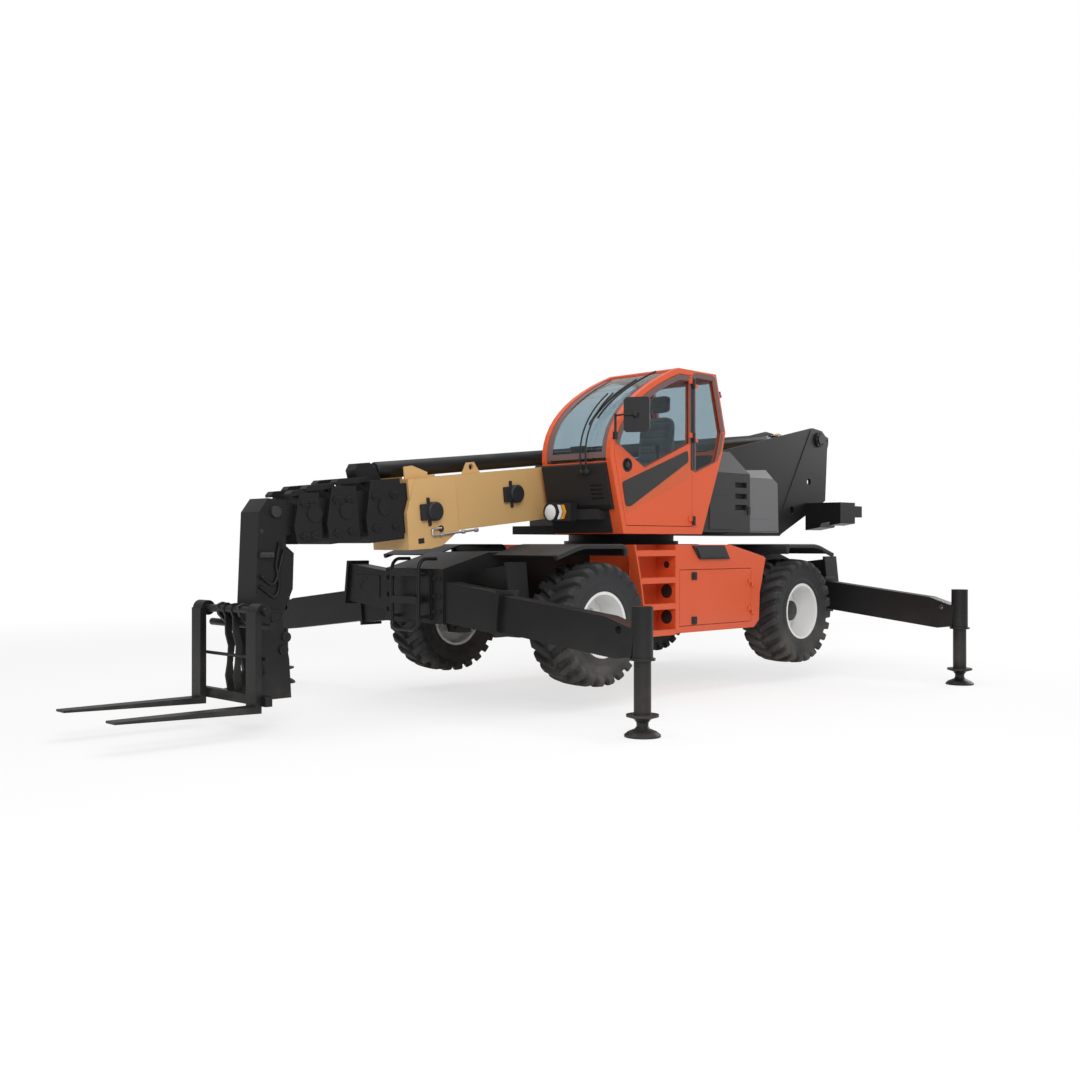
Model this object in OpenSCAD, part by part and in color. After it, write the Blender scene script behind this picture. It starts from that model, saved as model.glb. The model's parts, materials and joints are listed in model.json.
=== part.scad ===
// Rotating telehandler standing on its four outriggers, in millimetres.
// X points forward, Y to the left, Z up, and the ground is Z = 0.

/* [Running gear] */
// Distance between the two axles
wheelbase = 3300; // [3260:10:3360]
// Distance between the middles of the left and right tyres
track = 2075; // [2050:5:2100]
// Outer diameter of a tyre at the tips of its lugs
tyre_d = 1170; // [1150:5:1180]
// Width of a tyre
tyre_w = 445; // [430:5:455]
// Diameter of the rim under the tyre
rim_d = 600; // [580:5:620]
// Height of the tyres above the ground with the outriggers down
tyre_lift = 180; // [170:5:200]
// Lugs on each side of a tyre
lugs = 24; // [20:1:26]
// Height of a lug
lug_h = 45; // [35:1:50]
// Diameter of a king pin
king_d = 60; // [50:1:70]
// Diameter of a wheel spindle
spindle_d = 100; // [80:1:110]

/* [Outriggers] */
// Front legs ahead of the front axle
front_overhang = 1020; // [1000:10:1050]
// Rear legs behind the rear axle
rear_overhang = 800; // [790:10:850]
// Front legs out from the middle, beams drawn out
reach_front = 2580; // [2500:10:2620]
// Rear legs out from the middle, beams drawn out
reach_rear = 2710; // [2640:10:2740]
// Height of a beam
beam_h = 320; // [300:5:330]
// Thickness of a beam
beam_t = 160; // [150:5:164]
// Slope of a beam down towards its leg, in degrees
beam_slope = 6.5; // [6:0.1:7]
// Wall of a beam housing
housing_wall = 20; // [15:1:22]
// Outer diameter of a leg tube
leg_tube_d = 170; // [164:1:176]
// Diameter of the sliding leg
leg_d = 138; // [130:1:142]
// Diameter of a foot pad
foot_d = 290; // [270:5:320]
// Travel of a leg
leg_stroke = 300; // [250:10:310]

/* [Turret and cab] */
// Height of the turret's underside
turret_z = 1615; // [1610:1:1630]
// Inner side of the cab, out from the middle
cab_in = 310; // [300:5:320]
// Outer side of the cab, out from the middle
cab_out = 1220; // [1200:5:1240]
// Thickness of the cab's walls and door
cab_wall = 55; // [45:1:60]
// Thickness of the glass
glass_t = 8; // [6:1:10]
// Diameter of the boom's pivot pin
pivot_d = 120; // [100:1:130]

/* [Boom] */
// Slope of the lowered boom down towards its head, in degrees
boom_slope = 6; // [5.8:0.1:6.2]
// Width of the boom's base section
boom_w = 500; // [490:2:506]
// Height of the boom's base section
boom_h = 510; // [500:2:520]
// Wall of a boom section
boom_wall = 12; // [10:1:13]
// Outer diameter of the extension cylinder
extension_d = 154; // [140:2:160]
// Outer diameter of the lift cylinder
lift_d = 190; // [170:2:196]

/* [Forks] */
// Length of a fork from its heel to its tip
fork_len = 1200; // [1000:10:1300]
// Distance between the middles of the forks
fork_spread = 860; // [700:10:940]
// Width of a fork
fork_w = 145; // [120:5:160]
// Thickness of a fork at its heel
fork_t = 55; // [45:1:60]

/* [Hidden] */
$fn = 48;

// Clearances: a turning or sliding fit, a seat face, and room round what moves
fit = 0.05;
slide = 0.5;
seat = 0.3;
room = 6;

// Wheels and axles
tyre_r = tyre_d / 2;
rim_r = rim_d / 2;
axle_z = tyre_lift + tyre_r;
axle_x = wheelbase / 2;
wheel_y = track / 2;
king_y = wheel_y - 157.5;
king_r = king_d / 2;
spindle_r = spindle_d / 2;
ear_in = 130;
ear_out = 170;
ear_r = 70;
boss_r = 75;
hub_r = 105;
bead_y = 0.42 * tyre_w;
flange_t = 20;
flange_h = 30;

// Lugs: bars that run slanted from the crown of a tyre to its shoulder
lug_w = 62;
lug_lean = 130;
lug_tilt = 8;
lug_depth = 85;
lug_top = sqrt(tyre_r * tyre_r - pow((lug_lean + lug_w) / 2, 2)) - 2;
lug_end = [lug_top - tyre_w / 2 * sin(lug_tilt), lug_lean / 2 + 0.6 * lug_w];
sweep_r = norm([norm(lug_end), tyre_w / 2 + wheel_y - king_y]);

// Chassis
rail_y = 420;
belly_z = 600;
arch_z = axle_z + 195;
deck_z = 1440;
leg_front = axle_x + front_overhang;
leg_rear = axle_x + rear_overhang;
front_x = leg_front + 230;
rear_x = -leg_rear - 350;
end_z0 = 790;
end_z1 = 1290;
ladder_pad = 25;
ring_r = 625;
ring_top = turret_z - 65;
box_y = 1200;
box_low = 625;
box_top = 1510;
box_rear = -axle_x + 640;
box_front = axle_x - 695;

// Steps in front of the left box, and the door behind them
step_x = axle_x - 1110;
step_in = 950;
step_bar_in = 1090;
step_bar_t = 20;
step_t = 14;
step_lip = 45;
step_z = [657, 916, 1174, 1442];
step_line = [[axle_x - 655, 640], [axle_x - 606, 1079], [axle_x - 484, box_top]];
function arc(p, t) = (1 - t) * (1 - t) * p[0] + 2 * t * (1 - t) * p[1] + t * t * p[2];
door_x0 = box_rear + 270;
door_x1 = step_x - 60;
door_z0 = 690;
door_z1 = 1260;
door_hinge = [door_x0 - 6, box_y + 14];
door_hinges_z = [door_z0 + 120, door_z1 - 160];

// Outriggers: the front pair runs slightly slanted, so that both legs share one line
pair_x = 260;
slant = atan(pair_x / 2 / reach_front);
beam_z = 740;
beam_in = 2144;
mouth_y = 1100;
end_y = 980;
tube_z0 = 600;
tube_z1 = 1025;
leg_top = tube_z1 - 13 - leg_stroke;

// Turret
plate_in = 330;
plate_out = 370;
pivot = [-3390, 2845];
pivot_r = pivot_d / 2;
tray_z = 1690;
tail_x = -3620;

// Boom sections, counted from the base: half width, half height and reach
function half_w(i) = boom_w / 2 - 27 * i;
function half_h(i) = boom_h / 2 - 32 * i;
axis_w = -314;
boom_rear = 830;
section_front = [6600, 7100, 7490, 7800, 7960];
collar_len = [560, 400, 330, 270];
collar_out = 48;
extension_w = axis_w + boom_h / 2 + extension_d / 2 + 23;

// Lift cylinder: base pin on the turret, rod pin on the boom
lift_base = [-3082, 1999];
lift_eye = [1790, -720];
lift_r = lift_d / 2;
lift_pin_r = 40;
lift_eye_w = 50;
lift_eye_r = 66;
rod_shows = 118;
function boom_point(p) = pivot + [p[0] * cos(boom_slope) + p[1] * sin(boom_slope),
                                  -p[0] * sin(boom_slope) + p[1] * cos(boom_slope)];
lift_tip = boom_point(lift_eye);
lift_len = norm(lift_tip - lift_base);
lift_barrel_len = lift_len - rod_shows;
lift_angle = atan2(lift_tip[1] - lift_base[1], lift_tip[0] - lift_base[0]);

// Fork carriage
head_y = 140;
carriage_pin = [4500, 910];
carriage_pin_r = 40;
shaft = [4800, 985];
shaft_r = 32;
shaft_y = 560;
fork_x = 4820;
fork_z = tyre_lift + 5;
fork_tip_t = 18;
tip_x = fork_x + fork_len;

// Everything is shifted so that the middle of the length is X = 0
mid_x = (tip_x + tail_x) / 2;

module place() { translate([-mid_x, 0, 0]) children(); }
module both() { children(); mirror([0, 1, 0]) children(); }
module both_sides(y) { translate([0, y, 0]) both() children(); }
module block(x0, x1, y0, y1, z0, z1) { translate([x0, y0, z0]) cube([x1 - x0, y1 - y0, z1 - z0]); }
// An outline in X and Z carried from y0 to y1
module slab(y0, y1) { translate([0, y1, 0]) rotate([90, 0, 0]) linear_extrude(y1 - y0) children(); }
// A round bar along Y
module bar_y(x, z, r, y0, y1) { translate([x, y1, z]) rotate([90, 0, 0]) cylinder(r = r, h = y1 - y0); }
module post(x, y, r, z0, z1) { translate([x, y, z0]) cylinder(r = r, h = z1 - z0); }

// An outline in Y and Z carried from x0 to x1
module slab_x(x0, x1) { translate([x0, 0, 0]) rotate([90, 0, 90]) linear_extrude(x1 - x0) children(); }
// A round bar along X
module bar_x(y, z, r, x0, x1) { translate([x0, y, z]) rotate([0, 90, 0]) cylinder(r = r, h = x1 - x0); }
// A round bar between two points
module rod(a, b, r) {
  run = b - a;
  translate(a) rotate([0, acos(run[2] / norm(run)), atan2(run[1], run[0])]) cylinder(r = r, h = norm(run));
}
// A point on the line from a to b, moved out to the right of it by d
function beside(a, b, t, d) = a + (b - a) * t + [b[1] - a[1], a[0] - b[0]] / norm(b - a) * d;

// Running gear
module at_wheel(end, side) {
  translate([end * axle_x, side * wheel_y, axle_z]) rotate([0, 0, side > 0 ? 0 : 180]) children();
}
module about_y() { rotate([-90, 0, 0]) children(); }

// A lug leans forward towards the shoulder where the tyre meets the ground, on both sides of the machine
module lug(side) {
  in = side * lug_lean / 2;
  half_in = lug_w / 2;
  half_out = 0.6 * lug_w;
  translate([lug_top, 0, 0]) rotate([0, -lug_tilt, 0]) slab_x(-lug_depth, 0)
    polygon([
      [in - half_in, -8], [in + half_in, -8], [-in + half_out, tyre_w / 2], [-in - half_out, tyre_w / 2]
    ]);
}

module tyre(end, side) {
  hw = tyre_w / 2;
  crown = tyre_r - lug_h;
  rim_top = rim_r + flange_h + 1;
  color("dimgray") place() at_wheel(end, side) about_y() {
    rotate_extrude($fn = 32) polygon([
      [rim_r + seat, -bead_y], [rim_top, -bead_y], [rim_top + 15, -bead_y - 18], [0.74 * tyre_r, -hw],
      [0.86 * tyre_r, -hw + 4], [crown, -hw + 85], [crown, hw - 85], [0.86 * tyre_r, hw - 4],
      [0.74 * tyre_r, hw], [rim_top + 15, bead_y + 18], [rim_top, bead_y], [rim_r + seat, bead_y]
    ]);
    for (i = [0:lugs - 1]) {
      rotate([0, 0, i * 360 / lugs]) lug(side);
      rotate([0, 0, (i + 0.5) * 360 / lugs]) mirror([0, 0, 1]) lug(side);
    }
  }
}

module rim(end, side) {
  barrel_r = rim_r - 18;
  flange_y = bead_y + seat;
  disc_y = -60;
  color("white") place() at_wheel(end, side) about_y() rotate_extrude($fn = 96)
    polygon([
      [spindle_r + fit, -75], [hub_r, -75], [hub_r, disc_y], [0.62 * rim_r, disc_y], [barrel_r, disc_y - 40],
      [barrel_r, -flange_y - flange_t], [rim_r + flange_h, -flange_y - flange_t],
      [rim_r + flange_h, -flange_y],
      [rim_r, -flange_y], [rim_r, flange_y], [rim_r + flange_h, flange_y],
      [rim_r + flange_h, flange_y + flange_t], [barrel_r, flange_y + flange_t], [barrel_r, disc_y - 10],
      [0.62 * rim_r, disc_y + 25], [hub_r, disc_y + 25], [hub_r, 60], [hub_r - 20, 85], [0, 85],
      [0, 65], [spindle_r + fit, 65]
    ]);
}

module knuckle(end, side) {
  tip = wheel_y - king_y + 60;
  color("darkslategray") place() translate([end * axle_x, side * king_y, axle_z])
    rotate([0, 0, side > 0 ? 0 : 180]) {
      post(0, 0, boss_r, -ear_in + seat, ear_in - seat);
      post(0, 0, king_r, -ear_out, ear_out);
      bar_y(0, 0, spindle_r, 0, tip);
    }
}

module axle_end() {
  difference() {
    union() {
      block(-ear_r, ear_r, king_y - 190, king_y - 120, -ear_out, ear_out);
      for (z = [-ear_out, ear_in]) {
        block(-ear_r, ear_r, king_y - 190, king_y, z, z + ear_out - ear_in);
        post(0, king_y, ear_r, z, z + ear_out - ear_in);
      }
    }
    post(0, king_y, king_r + fit, -ear_out - 1, ear_out + 1);
  }
}

module axles() {
  color("darkslategray") place() for (end = [-1, 1]) translate([end * axle_x, 0, axle_z]) {
    bar_y(0, 0, 95, -king_y + 190, king_y - 190);
    bar_y(0, 0, 180, -130, 130);
    both() {
      block(-90, 90, 220, 380, 0, arch_z - axle_z);
      axle_end();
    }
  }
}

// Outriggers: each has its own frame with X along the beam, outwards and down, from the leg's axis
function leg_x(end, side) = end > 0 ? leg_front : -leg_rear - (side > 0 ? 0 : pair_x);
function leg_y(end) = end > 0 ? reach_front : reach_rear;
function beam_turn(end, side) = side * 90 + (end > 0 ? slant : 0);
module at_leg(end, side) { translate([leg_x(end, side), side * leg_y(end), 0]) children(); }
module along_beam(end, side) {
  at_leg(end, side) translate([0, 0, beam_z]) rotate([0, 0, beam_turn(end, side)])
    rotate([0, beam_slope, 0]) children();
}
function along(end, y) = (y - leg_y(end)) / cos(beam_slope);

module housing(end, side, grow) {
  t = beam_t / 2 + grow;
  h = beam_h / 2 + grow;
  along_beam(end, side) block(along(end, -end_y), along(end, mouth_y), -t, t, -h, h);
}
module housing_mouth(end, side) {
  t = beam_t / 2 + housing_wall + 25;
  h = beam_h / 2 + housing_wall + 25;
  along_beam(end, side) block(along(end, mouth_y) - 30, along(end, mouth_y), -t, t, -h, h);
}
module housing_flange(end, side) {
  t = beam_t / 2 + housing_wall + 30;
  h = beam_h / 2 + housing_wall + 30;
  along_beam(end, side) block(along(end, -end_y), along(end, -end_y) + 28, -t, t, -h, h);
}
module housing_bore(end, side) {
  t = beam_t / 2 + slide;
  h = beam_h / 2 + slide;
  along_beam(end, side) block(along(end, -end_y) + housing_wall, along(end, mouth_y) + 1, -t, t, -h, h);
}

module beam(end, side) {
  h = beam_h / 2;
  color("black") place() difference() {
    union() {
      along_beam(end, side) translate([0, beam_t / 2, 0]) rotate([90, 0, 0]) linear_extrude(beam_t)
        polygon([[-beam_in, -h], [-beam_in, h], [-330, h], [-40, h - 60], [-40, -h + 40], [-200, -h]]);
      at_leg(end, side) {
        post(0, 0, leg_tube_d / 2, tube_z0, tube_z1);
        post(0, 0, leg_tube_d / 2 + 18, tube_z0, tube_z0 + 18);
      }
    }
    at_leg(end, side) post(0, 0, leg_d / 2 + fit, tube_z0 - 1, tube_z1 - 12);
    along_beam(end, side) bar_y(-190, 75, 32, -beam_t, beam_t);
  }
}

module leg(end, side) {
  color("black") place() at_leg(end, side) rotate_extrude($fn = 64)
    polygon([
      [0, 0], [foot_d / 2, 0], [foot_d / 2, 16], [foot_d / 2 - 30, 40], [62, 62], [48, 80],
      [48, 110], [70, 140],
      [130, 158], [130, 176], [leg_d / 2, 176], [leg_d / 2, leg_top], [0, leg_top]
    ]);
}

// Chassis
module frame() {
  color("black") place() difference() {
    union() {
      slab(-rail_y, rail_y) polygon([
        [rear_x, end_z0], [rear_x, end_z1], [-leg_rear + 150, deck_z], [leg_front - 330, deck_z],
        [front_x, end_z1],
        [front_x, end_z0], [axle_x + 500, end_z0], [axle_x + 400, arch_z], [axle_x - 400, arch_z],
        [axle_x - 500, belly_z], [-axle_x + 500, belly_z], [-axle_x + 400, arch_z], [-axle_x - 400, arch_z],
        [-axle_x - 500, end_z0]
      ]);
      post(0, 0, ring_r, deck_z, ring_top);
      for (end = [-1, 1], side = [-1, 1]) {
        housing(end, side, housing_wall);
        housing_mouth(end, side);
        housing_flange(end, side);
      }
      block(rear_x - 130, rear_x, -60, 60, 840, 960);
      block(front_x, front_x + ladder_pad, -260, 260, 820, 1270);
    }
    for (end = [-1, 1], side = [-1, 1]) housing_bore(end, side);
    block(rear_x - 140, rear_x - 40, -70, 70, 875, 925);
    post(rear_x - 85, 0, 16, 830, 970);
  }
}

module fender_outline() {
  polygon([
    [640, 1368], [640, 1414], [300, 1516], [-235, 1516], [-295, 1492], [-325, 1435], [-325, 1405],
    [-282, 1405], [-282, 1428], [-265, 1458], [-225, 1471], [290, 1471]
  ]);
}
module fenders() {
  color("dimgray") place() both() for (end = [-1, 1])
    translate([end * axle_x, 0, 0]) slab(rail_y, wheel_y + tyre_w / 2 + 5)
      mirror([end > 0 ? 0 : 1, 0]) fender_outline();
}

// The side boxes stop clear of the circle that a steered tyre sweeps, and of the slewing ring
module tyre_sweep() {
  for (end = [-1, 1]) post(end * axle_x, king_y, sweep_r + room, belly_z - 100, box_top + 100);
  post(0, 0, ring_r + room, deck_z - 10, box_top + 100);
}
module box_outline(front) {
  polygon([
    [front, box_low], [front, box_top], [box_rear + 690, box_top], [box_rear, 1364], [box_rear + 110, 990],
    [box_rear + 125, 700], [box_rear + 220, box_low]
  ]);
}

module left_box() {
  color("orangered") place() {
    difference() {
      union() {
        slab(rail_y, box_y) box_outline(step_x);
        slab(rail_y, step_in) box_outline(box_front);
      }
      tyre_sweep();
      block(door_x0, door_x1, 700, box_y + 1, door_z0, door_z1);
    }
    for (z = door_hinges_z) {
      post(door_hinge[0], door_hinge[1], 14, z - 40, z - seat);
      block(door_hinge[0] - 60, door_hinge[0], box_y, box_y + 14, z - 40, z - seat);
      post(door_hinge[0], door_hinge[1], 7, z - 1, z + 40);
    }
  }
}

module right_box() {
  color("orangered") place() mirror([0, 1, 0]) difference() {
    slab(rail_y, box_y) box_outline(box_front);
    tyre_sweep();
  }
}

module box_door() {
  color("orangered") place() {
    block(door_x0 + room, door_x1 - room, box_y - 35, box_y, door_z0 + room, door_z1 - room);
    for (z = door_hinges_z) difference() {
      union() {
        post(door_hinge[0], door_hinge[1], 14, z, z + 40);
        block(door_hinge[0], door_x0 + 60, box_y, box_y + 14, z, z + 40);
      }
      post(door_hinge[0], door_hinge[1], 7 + fit, z - 1, z + 41);
    }
  }
}

// Four treads between the box and a bent bar that follows the front edge
module left_steps() {
  edge = [for (i = [0:8]) arc(step_line, i / 8)];
  color("orangered") place() {
    slab(step_bar_in, box_y) polygon(concat(edge, [for (i = [8:-1:0]) edge[i] - [step_bar_t, 0]]));
    for (z = step_z) {
      reach = lookup(z, [for (p = edge) [p[1], p[0]]]) - step_bar_t / 2;
      block(step_x, reach, step_bar_in, box_y, z - step_t, z);
      block(step_x, min(reach, box_front), step_in, box_y, z - step_t, z);
      block(step_x, reach, box_y - step_t, box_y, z - step_lip, z);
    }
  }
}

// A low cover with sloping sides above the door
module box_trim() {
  color("slategray") place() {
    slab(box_y, box_y + 22) polygon([[283, 1500], [-243, 1500], [-340, 1359], [162, 1359]]);
    slab(box_y + 22, box_y + 38) polygon([[240, 1480], [-225, 1480], [-290, 1378], [170, 1378]]);
  }
}

// Two tubes in one bend below, two flat treads, and handles bent back over the deck
module front_ladder() {
  x = front_x + 100;
  y = 195;
  r = 16;
  bend_r = 90;
  low = 730;
  high = 1290;
  color("black") place() {
    both() {
      post(x, y, r, low + bend_r, high);
      translate([x, y - bend_r, low + bend_r]) rotate([90, 0, 90]) rotate_extrude(angle = -90, $fn = 32)
        translate([bend_r, 0]) circle(r = r, $fn = 16);
      translate([x - bend_r, y, high]) rotate([90, 0, 0]) rotate_extrude(angle = 90, $fn = 32)
        translate([bend_r, 0]) circle(r = r, $fn = 16);
      bar_x(y, high + bend_r, r, x - bend_r - 120, x - bend_r);
      for (z = [850, 1240]) bar_x(y, z, r, front_x + ladder_pad, x);
    }
    bar_y(x, low, r, bend_r - y, y - bend_r);
    for (z = [1000, 1250]) block(x - 45, x + 20, -y, y, z - 28, z + 28);
  }
}

// Turret
module boom_plate_outline() {
  difference() {
    polygon([
      [-3250, 2985], [-3470, 2960], [-3540, 2905], [-3615, 2880], [-3615, 2800], [-3590, 2740], [-3540, 2070],
      [-2580, 1654], [-2500, turret_z], [-330, turret_z], [-330, 2100], [-1400, 2605]
    ]);
    translate([-3160, 2300]) circle(r = 42);
    translate([-2780, 1935]) circle(r = 46);
    translate([-3585, 2840]) circle(r = 16);
  }
}
module turret_frame() {
  lug_in = lift_eye_w + room;
  color("black") place() {
    post(0, 0, ring_r - 50, ring_top + seat, turret_z);
    slab(-cab_in, cab_in) polygon([[-2580, turret_z], [1345, turret_z], [1345, 1700], [-2580, 1700]]);
    both() {
      slab(plate_in, plate_out) boom_plate_outline();
      block(-2580, -330, cab_in, plate_in, turret_z, 1700);
      bar_y(pivot[0], pivot[1], 115, boom_w / 2 + slide, plate_in);
      bar_y(pivot[0], pivot[1], 95, plate_out, plate_out + 22);
      slab(lug_in, lug_in + 40) polygon([
        lift_base + [-85, 30], lift_base + [-40, 76], lift_base + [35, 76], lift_base + [80, 20],
        lift_base + [82, -100], [-3000, 1846], [-3250, 1953]
      ]);
    }
    slab(-plate_in, plate_in) polygon([[-3540, 2070], [-2580, 1654], [-2580, 1700], [-3520, 2108]]);
    block(-1650, 300, -1200, -plate_out, tray_z - 50, tray_z);
    block(-330, 300, -plate_out, -cab_in, tray_z - 50, tray_z);
    bar_y(pivot[0], pivot[1], pivot_r, -plate_out - 40, plate_out + 40);
    bar_y(lift_base[0], lift_base[1], lift_pin_r, -lug_in - 50, lug_in + 50);
    for (x = hood_hinges) hood_hinge_fixed(x);
  }
}

// Two wings whose undersides rise outwards, each with a stepped tail
module counterweight() {
  color("black") place() both() {
    slab_x(-3420, -3080) difference() {
      polygon([[plate_out, 1690], [870, 1770], [870, 2030], [plate_out, 2030]]);
      polygon([[560, 1690], [600, 1775], [720, 1790], [700, 1690]]);
    }
    block(tail_x, -3420, 420, 850, 1850, 1990);
  }
}

// Covers behind the cab, with tops that lean inwards
module cover(outer, shoulder, top, lean_in) {
  intersection() {
    slab(plate_out, outer) children();
    slab_x(-1600, 200) polygon([
      [plate_out, 1600], [outer, 1600], [outer, shoulder], [outer - lean_in, top], [plate_out, top]
    ]);
  }
}
module side_covers() {
  color("dimgray") place() difference() {
    cover(1130, 2270, 2510, 140)
      polygon([
        [105, 1640], [-210, 2410], [-240, 2500], [-640, 2510], [-770, 2325], [-820, 2265], [-820, 1640]
      ]);
    for (z = [1905, 2025, 2145]) block(-760, -553, 1085, 1131, z - 28, z + 28);
  }
}
module rear_cover() {
  color("slategray") place() cover(1090, 2240, 2345, 80)
    polygon([
      [-835, 1640], [-835, 2265], [-890, 2320], [-1280, 2340], [-1310, 2240], [-1400, 2190], [-1420, 1640]
    ]);
}

// Engine bay on the right, under a hood that swings up about its inner top edge
hood_axis = [-plate_out - 16, 2440];
hood_hinges = [-1500, -1200];
hood_x0 = -1600;
hood_x1 = 250;
hood_y = -1180;
module hood_hinge_fixed(x) {
  translate([x, 0, 0]) {
    block(0, 40, hood_axis[0] - 14, -plate_out, hood_axis[1] - 14, hood_axis[1] + 14);
    bar_x(hood_axis[0], hood_axis[1], 8, 39, 80);
  }
}
module engine_block() {
  color("gray") place() block(-1350, -450, -950, -480, tray_z, 2250);
}
module hood_outline(wall, inner, low) {
  polygon([
    [hood_y + wall, low], [hood_y + wall, 2250 - wall / 3], [hood_y + 100 + wall / 2, 2420 - wall],
    [inner, 2440 - wall], [inner, low]
  ]);
}
module engine_hood() {
  wall = 20;
  color("slategray") place() {
    difference() {
      slab_x(hood_x0, hood_x1) hood_outline(0, hood_axis[0] - 30, tray_z + seat);
      slab_x(hood_x0 + wall, hood_x1 - wall) hood_outline(wall, hood_axis[0] + 1, tray_z - 1);
      for (x = [-1380, -780], z = [1800:70:2150]) block(x, x + 480, hood_y - 1, hood_y + wall + 1, z, z + 30);
    }
    for (x = hood_hinges) difference() {
      union() {
        bar_x(hood_axis[0], hood_axis[1], 14, x + 40 + seat, x + 80 + seat);
        block(x + 40 + seat, x + 80 + seat, hood_axis[0] - 40, hood_axis[0], hood_axis[1] - 14, hood_axis[1]);
      }
      bar_x(hood_axis[0], hood_axis[1], 8 + fit, x + 39, x + 82);
    }
  }
}

// Cab
nose_low = [1345, turret_z];
nose_top = [1530, 2330];
roof_bend = [1555, 2880];
roof_front = [520, 3270];
roof_rear = [-100, 3264];
rear_bend = [-260, 2670];
module cab_outline() {
  polygon(concat([nose_low], [for (i = [0:12]) arc([nose_top, roof_bend, roof_front], i / 12)],
                 [roof_rear, rear_bend, [-195, 2430], [140, turret_z]]));
}
module inset_outline(d) { offset(delta = -d) cab_outline(); }
hinge_x = 290;
module screen_zone() { polygon([[1800, 2300], [1800, 3400], [560, 3400], [560, 3060], [1150, 2300]]); }
module rear_zone() { polygon([[-400, 2480], [-400, 3180], [0, 3180], [0, 2480]]); }
module quarter_zone() { polygon([[245, 2240], [245, 3400], [-400, 3400], [-400, 2480]]); }
module right_zone() { polygon([[1480, 2300], [1480, 3400], [-400, 3400], [-400, 2480]]); }
module door_zone(d) {
  polygon([[hinge_x + 10 + d, 1690 + d], [1700, 1690 + d], [1700, 3400], [hinge_x + 10 + d, 3400]]);
}
module pane_zone() {
  polygon([[345, 2530], [1040, 2255], [1420, 2465], [1700, 2700], [1700, 3400], [345, 3400]]);
}
door_pivot = [hinge_x, cab_out + 16];
door_hinges = [1745, 2585, 3130];

module cab_shell() {
  color("orangered") place() {
    difference() {
      slab(cab_in, cab_out) cab_outline();
      slab(cab_in + cab_wall, cab_out - cab_wall) inset_outline(cab_wall);
      slab(cab_out - cab_wall - 1, cab_out + 1) intersection() { inset_outline(cab_wall - 1); door_zone(0); }
      slab(cab_out - cab_wall - 1, cab_out + 1) intersection() { inset_outline(cab_wall + 15); quarter_zone(); }
      slab(cab_in - 1, cab_in + cab_wall + 1) intersection() { inset_outline(cab_wall + 15); right_zone(); }
      slab(cab_in + 60, cab_out - 60) screen_zone();
      slab(cab_in + 70, cab_out - 70) rear_zone();
    }
    for (z = door_hinges) {
      post(door_pivot[0], door_pivot[1], 16, z - 40, z - seat);
      block(door_pivot[0] - 70, door_pivot[0], cab_out, cab_out + 14, z - 40, z - seat);
      post(door_pivot[0], door_pivot[1], 8, z - 1, z + 50);
    }
  }
}

module cab_glass() {
  color("lightblue", 0.5) place() {
    slab(cab_in + 60 + seat, cab_out - 60 - seat) intersection() {
      difference() { inset_outline(12); inset_outline(12 + glass_t); }
      offset(delta = -seat) screen_zone();
    }
    slab(cab_in + 70 + seat, cab_out - 70 - seat) intersection() {
      difference() { inset_outline(12); inset_outline(12 + glass_t); }
      offset(delta = -seat) rear_zone();
    }
    slab(cab_out - 20 - glass_t, cab_out - 20)
      intersection() { inset_outline(cab_wall + 15 + seat); offset(delta = -seat) quarter_zone(); }
    slab(cab_in + 20, cab_in + 20 + glass_t)
      intersection() { inset_outline(cab_wall + 15 + seat); offset(delta = -seat) right_zone(); }
  }
}

cab_mid = (cab_in + cab_out) / 2;
floor_z = turret_z + cab_wall;
seat_z = floor_z + 400;
// The seat: cushion, backrest and headrest
module cab_seat() {
  color("dimgray") place() {
    block(330, 830, cab_mid - 250, cab_mid + 250, seat_z, seat_z + 130);
    slab(cab_mid - 240, cab_mid + 240) polygon([
      [330, seat_z + 130], [200, 2850], [300, 2860], [450, seat_z + 130]
    ]);
    slab(cab_mid - 130, cab_mid + 130) polygon([[197, 2850], [205, 3060], [285, 3060], [300, 2860]]);
  }
}
// Seat pedestal with side consoles, steering column and wheel
module cab_interior() {
  column = [1080, cab_mid, 2190];
  color("darkgray") place() {
    block(350, 800, cab_mid - 200, cab_mid + 200, floor_z, seat_z);
    both_sides(cab_mid) block(300, 760, 262, 372, floor_z, 2330);
    block(1020, 1250, cab_mid - 120, cab_mid + 120, floor_z, 2150);
    translate(column) rotate([0, -25, 0]) {
      post(0, 0, 35, -60, 130);
      post(0, 0, 60, 115, 145);
      translate([0, 0, 130]) rotate_extrude($fn = 40) translate([185, 0]) circle(r = 15, $fn = 16);
      block(-185, 185, -18, 18, 122, 138);
    }
  }
}

// The front of the cab below the windscreen: a bulged panel with louvres above a flat one
function nose(t, d) = beside(nose_low, nose_top, t, d);
module nose_panel() {
  color("black") place() {
    difference() {
      slab(cab_in + 5, cab_out - 60)
        polygon([nose(0.33, 0), nose(0.33, 26), nose(0.4, 40), nose(0.93, 26), nose(0.94, 0)]);
      for (t = [0.47:0.055:0.64])
        slab(cab_out - 290, cab_out - 135)
          polygon([nose(t, 20), nose(t, 50), nose(t + 0.025, 50), nose(t + 0.025, 20)]);
    }
    slab(cab_in + 5, cab_out - 130) polygon([nose(0.02, 0), nose(0.02, 14), nose(0.32, 14), nose(0.32, 0)]);
  }
}

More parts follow.
